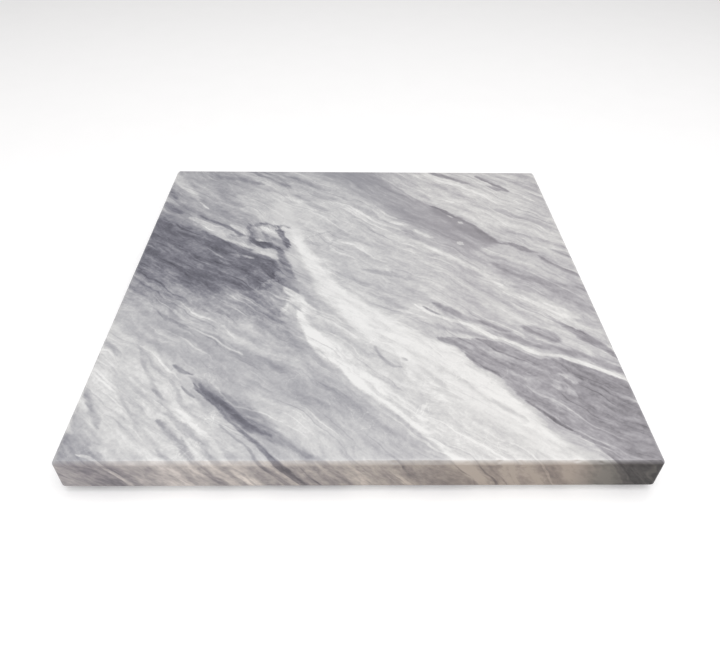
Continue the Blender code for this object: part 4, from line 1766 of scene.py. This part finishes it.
@dataclass
class BumperFoot:
    """A self-adhesive bumper: a moulded foot and the film that holds it to the stone."""

    side: str
    sides: int = 96
    draft: float = 0.9 * MM
    rim_radius: float = 0.6 * MM
    shoulder_radius: float = 0.3 * MM
    sole_ring: float = 2.2 * MM
    dish: float = 0.5 * MM
    gate_radius: float = 0.7 * MM
    gate_height: float = 0.15 * MM
    rim_end: float = 12.0  # degrees above level at which the rim meets the tapered wall
    rim_steps: int = 8
    shoulder_steps: int = 5
    # Shares of the dish's depth: in from and above the sole ring, where its slope eases, and
    # out from the ring's inside, where it meets the sole.
    dish_in: float = 0.3
    dish_up: float = 0.35
    dish_out: float = 0.2
    film_waist: float = 0.25  # how far the film's edge is drawn in, as a share of its thickness
    film_inset: float = 0.25 * MM
    film_gap: float = 0.01 * MM

    def build(self, rubber: Material, film: Material) -> list[Piece]:
        """Make the foot and its film.

        Args:
            rubber: the foot's material.
            film: the adhesive's material.

        Returns:
            The foot and the film.
        """
        node = f"foot_{self.side}"
        low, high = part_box(node)
        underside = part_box("stone_slab")[0].z
        centre = (low + high) / 2
        radius = (high.x - low.x) / 2
        foot = link_mesh(
            f"bumper_{self.side}",
            turned(self._foot_profile(radius, high.z - low.z), self.sides, (centre.x, centre.y, low.z)),
            rubber,
        )
        bottom = high.z + self.film_gap
        thickness = underside - high.z - 2 * self.film_gap
        disc = link_mesh(
            f"film_{self.side}",
            turned(
                self._film_profile(radius - self.film_inset, thickness),
                self.sides,
                (centre.x, centre.y, bottom),
            ),
            film,
        )
        return [place_piece(foot, "foot_rubber", node), place_piece(disc, "foot_rubber")]

    def _foot_profile(self, radius: float, height: float) -> list[Point]:
        """Draw half of the foot's section, from the sole's middle round to the top's."""
        sole = radius - self.draft
        ring_inside = sole - self.rim_radius - self.sole_ring
        middle = (sole - self.rim_radius, self.rim_radius)
        rim = arc(middle, self.rim_radius, -90.0, self.rim_end, self.rim_steps)
        shoulder = arc(
            (radius - self.shoulder_radius, height - self.shoulder_radius),
            self.shoulder_radius,
            0.0,
            90.0,
            self.shoulder_steps,
        )
        return [
            (0.0, self.dish - self.gate_height),
            (self.gate_radius, self.dish - self.gate_height),
            (self.gate_radius + self.gate_height, self.dish),
            (ring_inside - self.dish, self.dish),
            (ring_inside - self.dish * self.dish_in, self.dish * self.dish_up),
            (ring_inside + self.dish * self.dish_out, 0.0),
            *rim,
            *shoulder,
            (0.0, height),
        ]

    def _film_profile(self, radius: float, thickness: float) -> list[Point]:
        """Draw half of the film's section, its die-cut edge drawn in a little."""
        return [
            (0.0, 0.0),
            (radius, 0.0),
            (radius - thickness * self.film_waist, thickness / 2),
            (radius, thickness),
            (0.0, thickness),
        ]


def arc(centre: Point, radius: float, begin: float, end: float, steps: int) -> list[Point]:
    """Lay points along an arc.

    Args:
        centre: the arc's centre.
        radius: its radius.
        begin: the first point's angle, in degrees.
        end: the last point's angle, in degrees.
        steps: how many chords it has.

    Returns:
        The points.
    """
    angles = [math.radians(begin + (end - begin) * i / steps) for i in range(steps + 1)]
    return [(centre[0] + radius * math.cos(a), centre[1] + radius * math.sin(a)) for a in angles]


def turned(profile: list[Point], sides: int, base: WidePoint) -> Mesh:
    """Turn a section round the vertical axis into a closed mesh.

    Args:
        profile: (radius, height) points, from the bottom's middle to the top's.
        sides: how many sides the turned piece has.
        base: where its axis meets its base.

    Returns:
        The mesh.
    """
    bm = bmesh.new()
    verts = [bm.verts.new((radius, 0.0, height)) for radius, height in profile]
    edges = [bm.edges.new(pair) for pair in zip(verts, verts[1:])]
    bmesh.ops.spin(bm, geom=verts + edges, cent=Vector(), axis=Vector((0, 0, 1)), angle=math.tau, steps=sides)
    bmesh.ops.remove_doubles(bm, verts=bm.verts, dist=WELD_DISTANCE)
    bmesh.ops.recalc_face_normals(bm, faces=bm.faces)
    bmesh.ops.translate(bm, verts=bm.verts, vec=base)
    mesh = bpy.data.meshes.new("turned")
    bm.to_mesh(mesh)
    bm.free()
    mesh.shade_smooth()
    mesh.set_sharp_from_angle(angle=math.radians(SHARP_ANGLE))
    return mesh


@dataclass(frozen=True)
class SoftBox:
    """A square lamp: its name, where it hangs, what it faces, its side, watts and colour."""

    name: str
    place: WidePoint
    aim: WidePoint
    size: float
    watts: float
    colour: str


@dataclass
class Studio:
    """The paper floor, the soft lights and the camera."""

    camera_place: WidePoint = (-0.0056, -0.3400, 0.2770)
    camera_pitch: float = 41.44
    camera_yaw: float = -1.26
    camera_roll: float = 0.92
    lens: float = 31.3
    sensor: float = 36.0
    sky: str = "f7f5f5"
    sky_strength: float = 0.44
    key: SoftBox = SoftBox("key_light", (0.05, -0.26, 1.13), (0.0, 0.0, 0.0), 1.5, 13.0, "ffffff")
    fill: SoftBox = SoftBox("fill_light", (0.1, -1.5, 0.55), (0.0, 0.0, 0.02), 0.9, 0.6, "fff0e0")
    floor_reach: float = 3.0
    floor_cells: int = 8
    # The paper lies this far under the soles, so that no two faces share one plane.
    floor_gap: float = 0.1 * MM

    def build(self) -> None:
        """Lay the floor, hang the lights and place the camera."""
        scene = bpy.context.scene
        scene.view_settings.view_transform = "Standard"
        self._floor()
        self._sky()
        self._lamp(self.key)
        self._lamp(self.fill)
        self._camera()

    def _floor(self) -> None:
        """Lay a plain sheet of paper under the slab."""
        bm = bmesh.new()
        cells = self.floor_cells
        bmesh.ops.create_grid(bm, x_segments=cells, y_segments=cells, size=self.floor_reach)
        mesh = bpy.data.meshes.new("paper_floor")
        bm.to_mesh(mesh)
        bm.free()
        floor = link_mesh("paper_floor", mesh, PaperSweep().make())
        floor.location.z = -self.floor_gap

    def _sky(self) -> None:
        """Light the room evenly from every side."""
        world = bpy.data.worlds.new("studio")
        world.use_nodes = True
        backdrop = world.node_tree.nodes["Background"]
        backdrop.inputs["Color"].default_value = linear(self.sky)
        backdrop.inputs["Strength"].default_value = self.sky_strength
        bpy.context.scene.world = world

    def _lamp(self, box: SoftBox) -> None:
        """Hang one soft box, turned to what it faces."""
        data = bpy.data.lights.new(box.name, "AREA")
        data.shape = "SQUARE"
        data.size = box.size
        data.energy = box.watts
        data.color = linear(box.colour)[:3]
        lamp = bpy.data.objects.new(box.name, data)
        lamp.location = box.place
        to_aim = Vector(box.aim) - Vector(box.place)
        lamp.rotation_euler = to_aim.to_track_quat("-Z", "Y").to_euler()
        bpy.context.scene.collection.objects.link(lamp)

    def _camera(self) -> None:
        """Stand the camera over the front edge, looking down at the working face."""
        data = bpy.data.cameras.new("camera")
        data.lens = self.lens
        data.sensor_width = self.sensor
        camera = bpy.data.objects.new("camera", data)
        bpy.context.scene.collection.objects.link(camera)
        turn = (
            Matrix.Rotation(math.radians(self.camera_yaw), 4, "Z")
            @ Matrix.Rotation(math.radians(90.0 - self.camera_pitch), 4, "X")
            @ Matrix.Rotation(math.radians(self.camera_roll), 4, "Z")
        )
        camera.matrix_world = Matrix.Translation(self.camera_place) @ turn
        bpy.context.scene.camera = camera


def report(piece: Piece) -> None:
    """Log a piece's name and how many faces it has."""
    LOG.info("%s: %d faces", piece.name, len(piece.data.polygons))


def main() -> None:
    """Build every piece, light it and note its size."""
    logging.basicConfig(level=logging.INFO, format="%(name)s: %(message)s")
    report(StoneSlab().build())
    rubber, film = MouldedRubber().make(), AcrylicFilm().make()
    for side in ("front_left", "front_right", "back_left", "back_right"):
        for piece in BumperFoot(side).build(rubber, film):
            report(piece)
    Studio().build()


if __name__ == "__main__":
    main()
